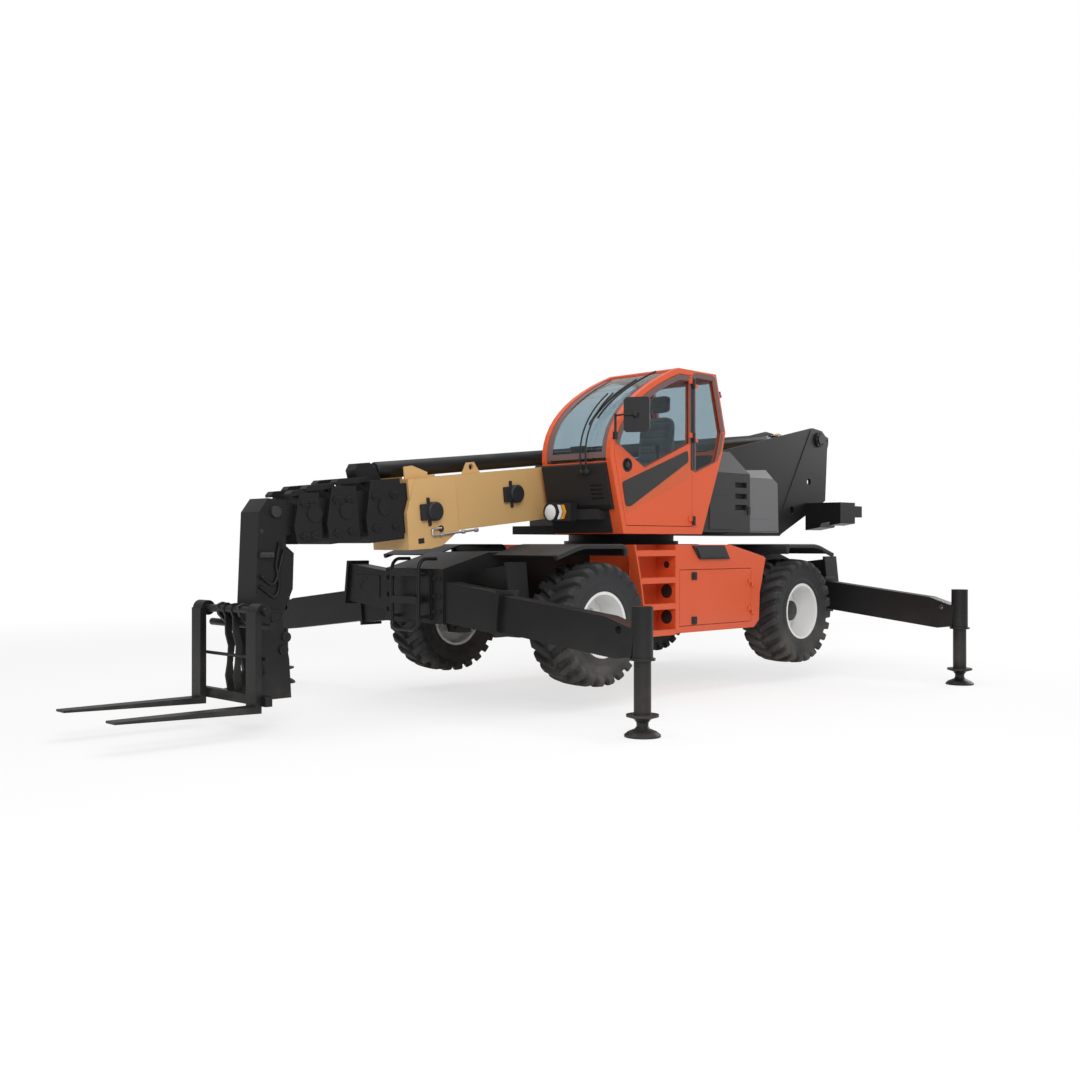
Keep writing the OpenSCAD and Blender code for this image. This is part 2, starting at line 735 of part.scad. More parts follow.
// A headlamp with its flasher on an arm, a mirror on a bent arm, and a rear lamp
module lamps_mirrors() {
  lamp = [476, 1826];
  lamp_x = 1475;
  arm = [1480, cab_out + 18, 2720];
  glass = [1560, cab_out + 350, 2700];
  color("black") place() {
    difference() {
      union() {
        bar_x(lamp[0], lamp[1], 95, lamp_x, lamp_x + 110);
        block(lamp_x, lamp_x + 100, lamp[0], 740, lamp[1] - 88, lamp[1] + 88);
        slab(690, 1040) polygon([nose(0.2, 14), [1500, 1750], [1500, 1850], nose(0.3, 14)]);
      }
      bar_x(lamp[0], lamp[1], 78, lamp_x + 98, lamp_x + 111);
    }
    block(arm[0] - 18, arm[0] + 18, cab_out, cab_out + 32, 2500, 2570);
    post(arm[0], arm[1], 12, 2560, arm[2] + 20);
    rod(arm, glass + [0, 0, 20], 9);
    translate(glass) rotate([0, 0, 30]) slab_x(-16, 16)
      polygon([
        [-120, -140], [-100, -160], [95, -160], [120, -135], [120, 140], [100, 160], [-95, 160], [-120, 135]
      ]);
    slab(cab_out - 65, cab_out - 25) polygon([
      beside(roof_rear, rear_bend, 0.3, 0), beside(roof_rear, rear_bend, 0.3, 60),
      beside(roof_rear, rear_bend, 0.4, 60), beside(roof_rear, rear_bend, 0.4, 0)
    ]);
  }
}

module door_panel() {
  color("orangered") place() {
    difference() {
      slab(cab_out - cab_wall, cab_out) intersection() { inset_outline(cab_wall - 1 + room); door_zone(room); }
      slab(cab_out - cab_wall - 1, cab_out + 1) intersection() { inset_outline(cab_wall + 60); pane_zone(); }
      bar_y(1290, 2268, 56, cab_out - 28, cab_out + 1);
    }
    for (z = door_hinges) difference() {
      union() {
        post(door_pivot[0], door_pivot[1], 16, z, z + 50);
        block(door_pivot[0], door_pivot[0] + 70, cab_out, cab_out + 14, z, z + 50);
      }
      post(door_pivot[0], door_pivot[1], 8 + fit, z - 1, z + 51);
    }
  }
}

module door_glass() {
  color("lightblue", 0.5) place() slab(cab_out - 20 - glass_t, cab_out - 20)
    intersection() { inset_outline(cab_wall + 60 + seat); offset(delta = -seat) pane_zone(); }
}

// Boom: its own frame has X along the boom and its origin at the pivot
module at_boom() { translate([pivot[0], 0, pivot[1]]) rotate([0, boom_slope, 0]) children(); }
module tube_box(u0, u1, w, h) { block(u0, u1, -w, w, axis_w - h, axis_w + h); }

module boom_base() {
  w = half_w(0);
  h = half_h(0);
  top = axis_w + h;
  low = axis_w - h;
  color("tan") place() at_boom() {
    difference() {
      union() {
        slab(-w, w) polygon([
          [300, -300], [boom_rear - 30, low], [section_front[0], low], [section_front[0], top], [300, top]
        ]);
        both() slab(w - 70, w)
          polygon([[-120, -250], [-120, 60], [70, 120], [400, top], [boom_rear - 60, low]]);
        slab(-w - 14, w + 14) polygon([
          [6050, low], [6266, -690], [6400, -705], [6659, -692], [6654, -361], [6522, top], [6050, top]
        ]);
      }
      bar_y(0, 0, pivot_r + fit, -w - 20, w + 20);
      tube_box(boom_rear - 20, section_front[0] - 140, w - boom_wall, h - boom_wall);
      tube_box(boom_rear, section_front[0] + 200, half_w(1) + slide, half_h(1) + slide);
    }
    both() slab(lift_eye_w + room, lift_eye_w + room + 30) polygon([
      [lift_eye[0] - 95, low], [lift_eye[0] - 70, lift_eye[1] - 40], [lift_eye[0], lift_eye[1] - 75],
      [lift_eye[0] + 70, lift_eye[1] - 40], [lift_eye[0] + 240, low]
    ]);
    block(440, 600, -60, 60, top, extension_w - 45);
    block(6150, 6300, -90, 90, top, extension_w - extension_d / 2 - seat);
    slab(185, 215) difference() {
      polygon([[5690, top], [5760, top + 110], [5840, top + 110], [5910, top]]);
      translate([5800, top + 65]) circle(r = 30);
    }
  }
}

// The side of a collar: its front edge juts out below the middle
module collar_outline(back, front, h) {
  polygon([
    [back, axis_w - h], [front - 15, axis_w - h], [front, axis_w - 60], [front - 80, axis_w + h],
    [back, axis_w + h]
  ]);
}
module section(i, tone) {
  w = half_w(i);
  h = half_h(i);
  start = boom_rear + 60 * i - 30;
  front = section_front[i];
  back = front - collar_len[i];
  top = axis_w + h + collar_out;
  reach = section_front[i + 1] - 155;
  color(tone) place() at_boom() difference() {
    union() {
      tube_box(start, front - 90, w, h);
      tube_box(start, start + 120, half_w(i - 1) - boom_wall - slide, half_h(i - 1) - boom_wall - slide);
      slab(-w - collar_out + 10, w + collar_out - 10) collar_outline(back, front, h + collar_out);
      both() {
        slab(95, 190) polygon([
          [front - 150, top], [front - 120, top + 36], [reach - 30, top + 36], [reach, top + 10],
          [reach, top - 12],
          [front - 90, top - 12]
        ]);
        bar_y(front - 210, axis_w + 30, 72, w, w + collar_out + 2);
      }
    }
    tube_box(start - 1, front - 140, w - boom_wall, h - boom_wall);
    tube_box(front - 150, front + 1, half_w(i + 1) + slide, half_h(i + 1) + slide);
  }
}
module boom_2() { section(1, "black"); }
module boom_3() { section(2, "black"); }
module boom_4() { section(3, "black"); }

module boom_5() {
  w = half_w(4);
  h = half_h(4);
  start = boom_rear + 210;
  color("black") place() difference() {
    union() {
      at_boom() tube_box(start, section_front[4], w, h);
      at_boom() tube_box(start, start + 120, half_w(3) - boom_wall - slide, half_h(3) - boom_wall - slide);
      slab(-head_y, head_y) polygon([
        [4365, 1500], [4365, 1880], [4540, 1894], [4625, 1780], [4660, 1000], [4590, 840], [4440, 840],
        [4300, 1140], [4290, 1440]
      ]);
    }
    at_boom() tube_box(start - 1, section_front[3] - 100, w - boom_wall, h - boom_wall);
    bar_y(carriage_pin[0], carriage_pin[1], carriage_pin_r + fit, -head_y - 1, head_y + 1);
  }
}

// Round cable guards on the left and right of the base section
module boom_discs() {
  color("black") place() at_boom() both() {
    for (p = [[5299, -287, half_w(0)], [6353, -369, half_w(0) + 14]]) {
      bar_y(p[0], p[1], 95, p[2], p[2] + 45);
      bar_y(p[0], p[1], 70, p[2] + 45, p[2] + 62);
      block(p[0] - 165, p[0], p[2], p[2] + 12, p[1] - 75, p[1] + 75);
      block(p[0] - 60, p[0] - 25, p[2], p[2] + 14, p[1] - 150, p[1] + 150);
    }
  }
}

module along_u(u0, u1, r) { translate([u0, 0, extension_w]) rotate([0, 90, 0]) cylinder(r = r, h = u1 - u0); }
module extension_barrel() {
  collar_top = axis_w + half_h(1) + collar_out;
  color("black") place() at_boom() {
    difference() {
      along_u(700, 6500, extension_d / 2);
      along_u(699, 6400, 45 + fit);
    }
    along_u(6499, 6880, 50);
    slab(-70, 70) polygon([
      [6760, collar_top], [6810, extension_w + 20], [6870, extension_w + 75], [7000, extension_w + 75],
      [7040, extension_w + 20], [7020, collar_top]
    ]);
  }
}
module extension_rod() {
  color("silver") place() at_boom() {
    along_u(600, 6300, 45);
    block(440, 600, -60, 60, extension_w - 45, extension_w + 60);
  }
}

// Lift cylinder along its own line, from its base pin
module at_lift() { translate([lift_base[0], 0, lift_base[1]]) rotate([0, -lift_angle, 0]) children(); }
module lift_barrel() {
  color("black") place() at_lift() difference() {
    union() {
      bar_y(0, 0, lift_eye_r, -lift_eye_w, lift_eye_w);
      translate([40, 0, 0]) rotate([0, 90, 0]) cylinder(r = 48, h = 60);
      translate([95, 0, 0]) rotate([0, 90, 0]) cylinder(r = lift_r, h = lift_barrel_len - 95);
    }
    bar_y(0, 0, lift_pin_r + fit, -lift_eye_w - 1, lift_eye_w + 1);
    translate([110, 0, 0]) rotate([0, 90, 0]) cylinder(r = 55 + fit, h = lift_barrel_len);
  }
}
module lift_rod() {
  color("silver") place() at_lift() difference() {
    union() {
      translate([115, 0, 0]) rotate([0, 90, 0]) cylinder(r = 55, h = lift_len - 115);
      bar_y(lift_len, 0, lift_eye_r, -lift_eye_w, lift_eye_w);
    }
    bar_y(lift_len, 0, lift_pin_r, -lift_eye_w - 1, lift_eye_w + 1);
  }
}

// Fork carriage: side plates on the head's pin, shafts and a bar for the forks, and two hooked plates
module carriage() {
  in_y = head_y + room;
  bar_x0 = fork_x - seat - 60;
  color("black") place() {
    both() {
      slab(in_y, in_y + 35) polygon([
        [4440, 960], [4560, 980], shaft + [-20, 55], shaft + [40, 30], shaft + [20, -50], [4650, 760],
        [4590, 460], [4700, 330], [bar_x0, 320], [bar_x0, 240], [4340, 240], [4360, 560], [4420, 850]
      ]);
      for (p = [[4395, 745], [4420, 640]]) bar_y(p[0], p[1], 42, in_y + 35, in_y + 52);
      slab(50, 72) polygon([
        shaft + [-45, 20], shaft + [-15, 52], shaft + [25, 48], shaft + [42, 0], shaft + [18, -60], [4812, 780],
        [4785, 680], [4795, 540], [4812, 440], [4790, 320], [4735, 320], [4750, 540], [4730, 690],
        [4758, 800],
        shaft + [-38, -50]
      ]);
    }
    bar_y(carriage_pin[0], carriage_pin[1], carriage_pin_r, -in_y - 45, in_y + 45);
    bar_y(shaft[0], shaft[1], shaft_r, -shaft_y, shaft_y);
    bar_y(4700, 860, 30, -shaft_y + 90, shaft_y - 90);
    bar_y(4785, 610, 14, -shaft_y + 40, shaft_y - 40);
    bar_y(4420, 640, 28, -in_y, in_y);
    bar_y(4410, 330, 28, -in_y, in_y);
    block(bar_x0, fork_x - seat, -shaft_y, shaft_y, 240, 320);
  }
}

module forks() {
  color("black") place() for (side = [-1, 1]) translate([0, side * fork_spread / 2, 0])
    difference() {
      union() {
        slab(-fork_w / 2, fork_w / 2) polygon([
          [fork_x, fork_z], [fork_x, shaft[1]], [fork_x + fork_t, shaft[1]],
          [fork_x + fork_t, fork_z + fork_t],
          [tip_x, fork_z + fork_t], [tip_x, fork_z + fork_t - fork_tip_t]
        ]);
        bar_y(shaft[0], shaft[1], shaft_r + 30, -fork_w / 2, fork_w / 2);
      }
      bar_y(shaft[0], shaft[1], shaft_r + fit, -fork_w, fork_w);
    }
}

module knuckle_fl() { knuckle(1, 1); }
module knuckle_fr() { knuckle(1, -1); }
module knuckle_rl() { knuckle(-1, 1); }
module knuckle_rr() { knuckle(-1, -1); }
module rim_fl() { rim(1, 1); }
module rim_fr() { rim(1, -1); }
module rim_rl() { rim(-1, 1); }
module rim_rr() { rim(-1, -1); }
module tyre_fl() { tyre(1, 1); }
module tyre_fr() { tyre(1, -1); }
module tyre_rl() { tyre(-1, 1); }
module tyre_rr() { tyre(-1, -1); }
module beam_fl() { beam(1, 1); }
module beam_fr() { beam(1, -1); }
module beam_rl() { beam(-1, 1); }
module beam_rr() { beam(-1, -1); }
module leg_fl() { leg(1, 1); }
module leg_fr() { leg(1, -1); }
module leg_rl() { leg(-1, 1); }
module leg_rr() { leg(-1, -1); }

frame();
axles();
fenders();
left_box();
right_box();
box_door();
left_steps();
box_trim();
front_ladder();
knuckle_fl();
knuckle_fr();
knuckle_rl();
knuckle_rr();
rim_fl();
rim_fr();
rim_rl();
rim_rr();
tyre_fl();
tyre_fr();
tyre_rl();
tyre_rr();
beam_fl();
beam_fr();
beam_rl();
beam_rr();
leg_fl();
leg_fr();
leg_rl();
leg_rr();
turret_frame();
counterweight();
side_covers();
rear_cover();
engine_block();
engine_hood();
cab_shell();
cab_glass();
cab_interior();
cab_seat();
nose_panel();
lamps_mirrors();
door_panel();
door_glass();
boom_base();
boom_2();
boom_3();
boom_4();
boom_5();
boom_discs();
extension_barrel();
extension_rod();
lift_barrel();
lift_rod();
carriage();
forks();
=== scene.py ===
import json
import math

import bmesh
import bpy
import numpy as np
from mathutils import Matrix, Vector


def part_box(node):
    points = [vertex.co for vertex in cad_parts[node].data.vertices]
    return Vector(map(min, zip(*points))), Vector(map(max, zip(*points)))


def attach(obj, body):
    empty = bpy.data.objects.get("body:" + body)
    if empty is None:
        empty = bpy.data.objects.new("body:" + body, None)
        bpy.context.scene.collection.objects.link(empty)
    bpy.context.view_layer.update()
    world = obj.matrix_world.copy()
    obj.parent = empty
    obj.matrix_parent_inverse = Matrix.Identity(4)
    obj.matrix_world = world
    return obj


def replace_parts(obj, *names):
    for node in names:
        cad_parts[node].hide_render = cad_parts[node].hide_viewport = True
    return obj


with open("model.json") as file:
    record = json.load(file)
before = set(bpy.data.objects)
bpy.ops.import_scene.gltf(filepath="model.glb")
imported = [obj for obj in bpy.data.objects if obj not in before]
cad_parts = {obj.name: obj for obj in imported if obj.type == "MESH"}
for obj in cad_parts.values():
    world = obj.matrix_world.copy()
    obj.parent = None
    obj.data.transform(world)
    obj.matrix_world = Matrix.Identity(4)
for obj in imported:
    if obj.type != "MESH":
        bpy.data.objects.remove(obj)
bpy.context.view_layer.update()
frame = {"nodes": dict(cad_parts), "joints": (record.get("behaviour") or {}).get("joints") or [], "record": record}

JOINTS = {joint["name"]: joint for joint in frame["joints"]}
CORNERS = ("fl", "fr", "rl", "rr")
SLEW_X = JOINTS["slew"]["pos_m"][0]
WELD = 1e-5
X, Y, Z = np.eye(3)

# The boom's own axes at rest: U runs along it to the head, W stands up from it
PIVOT = np.array(JOINTS["boom_lift"]["pos_m"])
U = np.array(JOINTS["extend_2"]["axis"])
W = np.cross(U, Y)


def spot(x, y, z):
    """A point given from the slewing axis, on the middle line, on the ground."""
    return np.array([x + SLEW_X, y, z])


def on_boom(u, y, w):
    """A point given from the boom's pivot: u along the boom, y to the left, w up from it."""
    return PIVOT + u * U + y * Y + w * W


# Surfaces as grids of points

def unit(vectors):
    """Vectors divided by their own lengths."""
    return vectors / np.linalg.norm(vectors, axis=-1, keepdims=True)


def square_to(direction):
    """Two unit vectors square to a direction and to each other, and the direction's own unit vector."""
    along = unit(np.asarray(direction, float))
    side = unit(np.cross(np.eye(3)[np.argmin(np.abs(along))], along))
    return side, np.cross(along, side), along


def lathe(profile, origin, direction, sides=32):
    """A profile turned round an axis: origin + along * axis + radius * (cos t * side + sin t * up)."""
    profile = np.asarray(profile, float)
    side, up, along = square_to(direction)
    turn = np.linspace(0, 2 * np.pi, sides + 1)
    ring = np.cos(turn)[:, None] * side + np.sin(turn)[:, None] * up
    return origin + profile[:, :1, None] * along + profile[:, 1:, None] * ring


def tube(path, radius, sides=12):
    """A round bar along a path: path + radius * (cos t * normal + sin t * side), closed at both ends.

    The normal is that of the plane in which the path lies."""
    path = np.asarray(path, float)
    tangent = unit(np.gradient(path, axis=0))
    plane = np.linalg.svd(path - path.mean(0))[2][-1]
    normal = unit(plane - (tangent @ plane)[:, None] * tangent)
    side = np.cross(tangent, normal)
    turn = np.linspace(0, 2 * np.pi, sides + 1)[:, None]
    ring = np.cos(turn) * normal[:, None] + np.sin(turn) * side[:, None]
    reach = np.broadcast_to(radius, len(path))[:, None, None]
    ends = np.repeat(path[[0, -1], None], sides + 1, axis=1)
    return np.concatenate([ends[:1], path[:, None] + reach * ring, ends[1:]])


def bent(points, radius, steps=6):
    """A path of straight runs: each corner gives way to a parabola between points one radius before and after it."""
    points = np.asarray(points, float)
    corner = points[1:-1]
    start = corner + radius * unit(points[:-2] - corner)
    end = corner + radius * unit(points[2:] - corner)
    t = np.linspace(0, 1, steps)[:, None, None]
    arcs = (1 - t) ** 2 * start + 2 * t * (1 - t) * corner + t ** 2 * end
    return np.concatenate([points[:1], arcs.transpose(1, 0, 2).reshape(-1, points.shape[1]), points[-1:]])


def rounded(points, radius, steps=5):
    """A closed outline with rounded corners, by the rule of a bent path carried once round."""
    points = np.asarray(points, float)
    return bent(np.concatenate([points[-1:], points, points[:1]]), radius, steps)[1:-1]


def smooth(points, steps=8):
    """A smooth path through points: cubics whose slope at a point is half the step between its neighbours."""
    p = np.asarray(points, float)
    p = np.concatenate([2 * p[:1] - p[1:2], p, 2 * p[-1:] - p[-2:-1]])
    a, b, c, d = p[:-3], p[1:-2], p[2:-1], p[3:]
    t = np.linspace(0, 1, steps, endpoint=False)[:, None, None]
    path = b + 0.5 * ((c - a) * t + (2 * a - 5 * b + 4 * c - d) * t ** 2 + (3 * b - a - 3 * c + d) * t ** 3)
    return np.concatenate([path.transpose(1, 0, 2).reshape(-1, p.shape[1]), p[-2:-1]])


def plate(outline, origin, right, up, thickness, rim=0.002):
    """A plate with a rounded rim: rings of the outline, shrunk to its middle at both faces, stacked by depth."""
    outline = np.asarray(outline, float)
    middle = outline.mean(0)
    spread = np.concatenate([outline, outline[:1]]) - middle
    shrink = 1 - rim / np.abs(spread).max()
    scale = np.array([0, shrink, 1, 1, shrink, 0])[:, None, None]
    depth = np.array([0, 0, rim, thickness - rim, thickness, thickness])[:, None, None]
    flat = (middle + scale * spread) @ np.stack([right, up])
    return origin + flat + depth * np.cross(right, up)


def disc(origin, direction, radius, height, rim=0.004, sides=40):
    """A round boss with a rounded rim, standing on a face."""
    profile = [(0, 0), (0, radius), (height - rim, radius), (height, radius - rim), (height, 0)]
    return lathe(profile, origin, direction, sides)


def bolts(places, direction, radius):
    """Six-sided bolt heads on round washers, one at each place."""
    washer = np.array([(0, 0), (0, 1.7), (0.3, 1.7), (0.3, 0)]) * radius
    head = np.array([(0.3, 0), (0.3, 1), (0.9, 1), (1.05, 0.85), (1.05, 0)]) * radius
    return [grid for place in places
            for grid in (lathe(washer, place, direction, 16), lathe(head, place, direction, 6))]


def oblong(x0, x1, z0, z1, radius=0.012):
    """A rectangle with rounded corners."""
    return rounded([(x0, z0), (x1, z0), (x1, z1), (x0, z1)], radius)


def on_left(outline, y, thickness, rim=0.002):
    """A plate on a face that looks left, its outline given in X and Z from the slewing axis."""
    return plate(np.asarray(outline, float) * (-1, 1), spot(0, y, 0), -X, Z, thickness, rim)


def boom_side(outline, u, y, w, thickness, rim=0.002):
    """A plate on the left side of the boom, its outline given along and across the boom from a point."""
    return plate(np.asarray(outline, float) * (-1, 1), on_boom(u, y, w), -U, W, thickness, rim)


def strip(first, second, lift):
    """A thin closed band between two lines: the band, the same band moved by the lift, and both ends shut."""
    ring = np.stack([first, second, second + lift, first + lift, first])
    return np.concatenate([np.repeat(ring[:1, :1], 5, 0), ring, np.repeat(ring[:1, -1:], 5, 0)], axis=1)


def toothed(start, end, up, out, height, depth, pitch=0.04):
    """A strip with a saw-tooth top: along the run its height swings between one half and the whole."""
    count = 2 * max(1, round(np.linalg.norm(end - start) / pitch))
    line = start + np.linspace(0, 1, count + 1)[:, None] * (end - start)
    top = line + height * np.where(np.arange(count + 1) % 2, 1.0, 0.4)[:, None] * up
    return strip(line, top, -depth * out)


def curve(points, t):
    """Points on a parabola that starts and ends at the outer two points and heads for the middle one."""
    a, b, c = np.asarray(points, float)
    t = np.asarray(t, float)[:, None]
    return (1 - t) ** 2 * a + 2 * t * (1 - t) * b + t ** 2 * c


def pane_edge(node, y):
    """The edge of a flat pane: its points at one y, in order of their angle round the middle, closed."""
    points = points_of(frame["nodes"][node].data)
    edge = np.unique(points[np.abs(points[:, 1] - y) < 1e-3].round(4), axis=0)
    from_middle = edge - edge.mean(0)
    edge = edge[np.argsort(np.arctan2(from_middle[:, 2], from_middle[:, 0]))]
    return np.concatenate([edge, edge[:1]])


def pad(size, power=0.4):
    """A rounded box about the origin: a superellipsoid, the signed powers of sines and cosines of two angles."""
    u = np.linspace(-np.pi, np.pi, 97)[None]
    v = np.linspace(-np.pi / 2, np.pi / 2, 65)[:, None]
    waves = [np.cos(u), np.sin(u), np.cos(v), np.sin(v)]
    cos_u, sin_u, cos_v, sin_v = (np.sign(wave) * np.abs(wave) ** power for wave in waves)
    return np.stack([cos_v * cos_u, cos_v * sin_u, sin_v * np.ones_like(u)], -1) * np.asarray(size) / 2


def lean(grid, middle, degrees):
    """A grid turned about the Y line through a point, nose down where the angle is positive."""
    a = math.radians(degrees)
    turn = np.array([[math.cos(a), 0, math.sin(a)], [0, 1, 0], [-math.sin(a), 0, math.cos(a)]])
    return (grid - middle) @ turn.T + middle


def mirrored(grids):
    """The same grids on the other side of the middle line."""
    return [grid * np.array([1, -1, 1]) for grid in grids]


def grid_mesh(name, grids):
    """One mesh from grids: neighbouring points make four-cornered faces, and points that meet are welded."""
    corners, faces, start = [], [], 0
    for grid in grids:
        rows, columns = grid.shape[:2]
        index = start + np.arange(rows * columns).reshape(rows, columns)
        quads = np.stack([index[:-1, :-1], index[1:, :-1], index[1:, 1:], index[:-1, 1:]], -1)
        faces.append(quads.reshape(-1, 4))
        corners.append(grid.reshape(-1, 3))
        start += rows * columns
    corners, faces = np.concatenate(corners), np.concatenate(faces)
    mesh = bpy.data.meshes.new(name)
    mesh.vertices.add(len(corners))
    mesh.vertices.foreach_set("co", corners.astype(np.float32).ravel())
    mesh.loops.add(faces.size)
    mesh.loops.foreach_set("vertex_index", faces.astype(np.int32).ravel())
    mesh.polygons.add(len(faces))
    mesh.polygons.foreach_set("loop_start", np.arange(0, faces.size, 4, dtype=np.int32))
    mesh.update(calc_edges=True)
    shape = bmesh.new()
    shape.from_mesh(mesh)
    bmesh.ops.remove_doubles(shape, verts=shape.verts, dist=WELD)
    bmesh.ops.dissolve_degenerate(shape, dist=WELD, edges=shape.edges)
    bmesh.ops.recalc_face_normals(shape, faces=shape.faces)
    shape.to_mesh(mesh)
    shape.free()
    return mesh


def points_of(mesh):
    """A mesh's points as rows."""
    points = np.empty(3 * len(mesh.vertices), np.float32)
    mesh.vertices.foreach_get("co", points)
    return points.reshape(-1, 3)


def dressed(name, mesh, finish, body, sharp=38):
    """An object from a mesh, smooth but for its sharp edges, with its finish and on its body."""
    mesh.shade_smooth()
    mesh.set_sharp_from_angle(angle=math.radians(sharp))
    mesh.materials.append(finish)
    obj = bpy.data.objects.new(name, mesh)
    bpy.context.scene.collection.objects.link(obj)
    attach(obj, body)
    return obj


def piece(name, grids, finish, body, sharp=38):
    """An object made of grids."""
    return dressed(name, grid_mesh(name, grids), finish, body, sharp)


# Shared effects of the finishes

def add(tree, kind, settings=None, **inputs):
    """A node of one kind: an input given as a socket is linked, any other value is set."""
    node = tree.nodes.new(kind)
    for key, value in (settings or {}).items():
        setattr(node, key, value)
    for key, value in inputs.items():
        put(tree, node.inputs[key.replace("_", " ")], value)
    return node


def put(tree, socket, value):
    """Link a socket to an input, or set the input's own value."""
    if isinstance(value, bpy.types.NodeSocket):
        tree.links.new(value, socket)
    else:
        socket.default_value = value


def sum_of(tree, operation, *values, clamp=False):
    """One step of arithmetic on values or sockets."""
    node = add(tree, "ShaderNodeMath", {"operation": operation, "use_clamp": clamp})
    for socket, value in zip(node.inputs, values):
        put(tree, socket, value)
    return node.outputs[0]


def ramp(tree, value, low, high):
    """A smooth step from 0 at low to 1 at high."""
    node = add(tree, "ShaderNodeMapRange", {"interpolation_type": "SMOOTHSTEP"}, Value=value)
    put(tree, node.inputs["From Min"], low)
    put(tree, node.inputs["From Max"], high)
    return node.outputs["Result"]


def mix(tree, factor, first, second):
    """Two colours mixed by a factor."""
    node = add(tree, "ShaderNodeMix", {"data_type": "RGBA"})
    for index, value in ((0, factor), (6, first), (7, second)):
        put(tree, node.inputs[index], value)
    return node.outputs[2]


def noise(tree, scale, detail=4.0):
    """Cloudy noise on the piece's own coordinates."""
    where = add(tree, "ShaderNodeTexCoord").outputs["Object"]
    return add(tree, "ShaderNodeTexNoise", Vector=where, Scale=scale, Detail=detail).outputs[0]


def group(name, inputs, outputs):
    """An empty node group with number inputs and their values, and outputs of named kinds."""
    tree = bpy.data.node_groups.new(name, "ShaderNodeTree")
    for key, value in inputs.items():
        tree.interface.new_socket(key, in_out="INPUT", socket_type="NodeSocketFloat").default_value = value
    for key, kind in outputs.items():
        tree.interface.new_socket(key, in_out="OUTPUT", socket_type=kind)
    return tree, tree.nodes.new("NodeGroupInput").outputs, tree.nodes.new("NodeGroupOutput").inputs


def edge_wear():
    """Edge wear and painted highlight: where the normal rounded over a small radius leaves the flat one, broken up by
    noise.
    """
    tree, given, out = group("edge_wear", {"Radius": 0.004, "Amount": 0.5, "Scale": 14.0},
                             {"Mask": "NodeSocketFloat", "Normal": "NodeSocketVector"})
    rounded_normal = add(tree, "ShaderNodeBevel", {"samples": 4}, Radius=given["Radius"]).outputs[0]
    flat_normal = add(tree, "ShaderNodeNewGeometry").outputs["Normal"]
    agree = add(tree, "ShaderNodeVectorMath", {"operation": "DOT_PRODUCT"})
    tree.links.new(rounded_normal, agree.inputs[0])
    tree.links.new(flat_normal, agree.inputs[1])
    edge = ramp(tree, sum_of(tree, "SUBTRACT", 1.0, agree.outputs["Value"]), 0.02, 0.3)
    patchy = ramp(tree, noise(tree, given["Scale"], 6.0), 0.42, 0.62)
    mask = sum_of(tree, "MULTIPLY", sum_of(tree, "MULTIPLY", edge, patchy), given["Amount"], clamp=True)
    tree.links.new(mask, out["Mask"])
    tree.links.new(rounded_normal, out["Normal"])
    return tree


def dust_film():
    """Dust: on faces that look up and on everything near the ground, in patches of noise."""
    tree, given, out = group("dust_film", {"Amount": 0.3, "Scale": 3.0, "Height": 1.0},
                             {"Mask": "NodeSocketFloat"})
    own = add(tree, "ShaderNodeTexCoord").outputs
    facing = add(tree, "ShaderNodeSeparateXYZ", Vector=own["Normal"]).outputs["Z"]
    height = add(tree, "ShaderNodeSeparateXYZ", Vector=own["Object"]).outputs["Z"]
    low = sum_of(tree, "SUBTRACT", 1.0, ramp(tree, height, 0.0, given["Height"]))
    patchy = ramp(tree, noise(tree, given["Scale"], 7.0), 0.3, 0.75)
    laid = sum_of(tree, "MAXIMUM", sum_of(tree, "MULTIPLY", ramp(tree, facing, 0.2, 1.0), 0.7), low)
    mask = sum_of(tree, "MULTIPLY", sum_of(tree, "MULTIPLY", laid, patchy), given["Amount"], clamp=True)
    tree.links.new(mask, out["Mask"])
    return tree


def surface_grain():
    """Grain: slow clouds that vary the tone, and a fine noise that gives height and breaks up the gloss."""
    tree, given, out = group("surface_grain", {"Fine": 300.0, "Slow": 1.5, "Tone": 0.06},
                             {"Tone": "NodeSocketFloat", "Height": "NodeSocketFloat"})
    cloud = sum_of(tree, "SUBTRACT", noise(tree, given["Slow"], 5.0), 0.5)
    tone = sum_of(tree, "ADD", sum_of(tree, "MULTIPLY", cloud, given["Tone"]), 1.0)
    tree.links.new(tone, out["Tone"])
    tree.links.new(noise(tree, given["Fine"], 2.0), out["Height"])
    return tree


# The edge effect recolours rims: partly wear, partly a painted highlight along them.
EDGE_WEAR_AND_HIGHLIGHT, DUST_FILM, SURFACE_GRAIN = edge_wear(), dust_film(), surface_grain()
DUST = (0.36, 0.32, 0.27, 1)


def placed(tree, shared, **values):
    """A shared effect placed in a material with its own values."""
    node = add(tree, "ShaderNodeGroup", {"node_tree": shared})
    for key, value in values.items():
        node.inputs[key].default_value = value
    return node.outputs
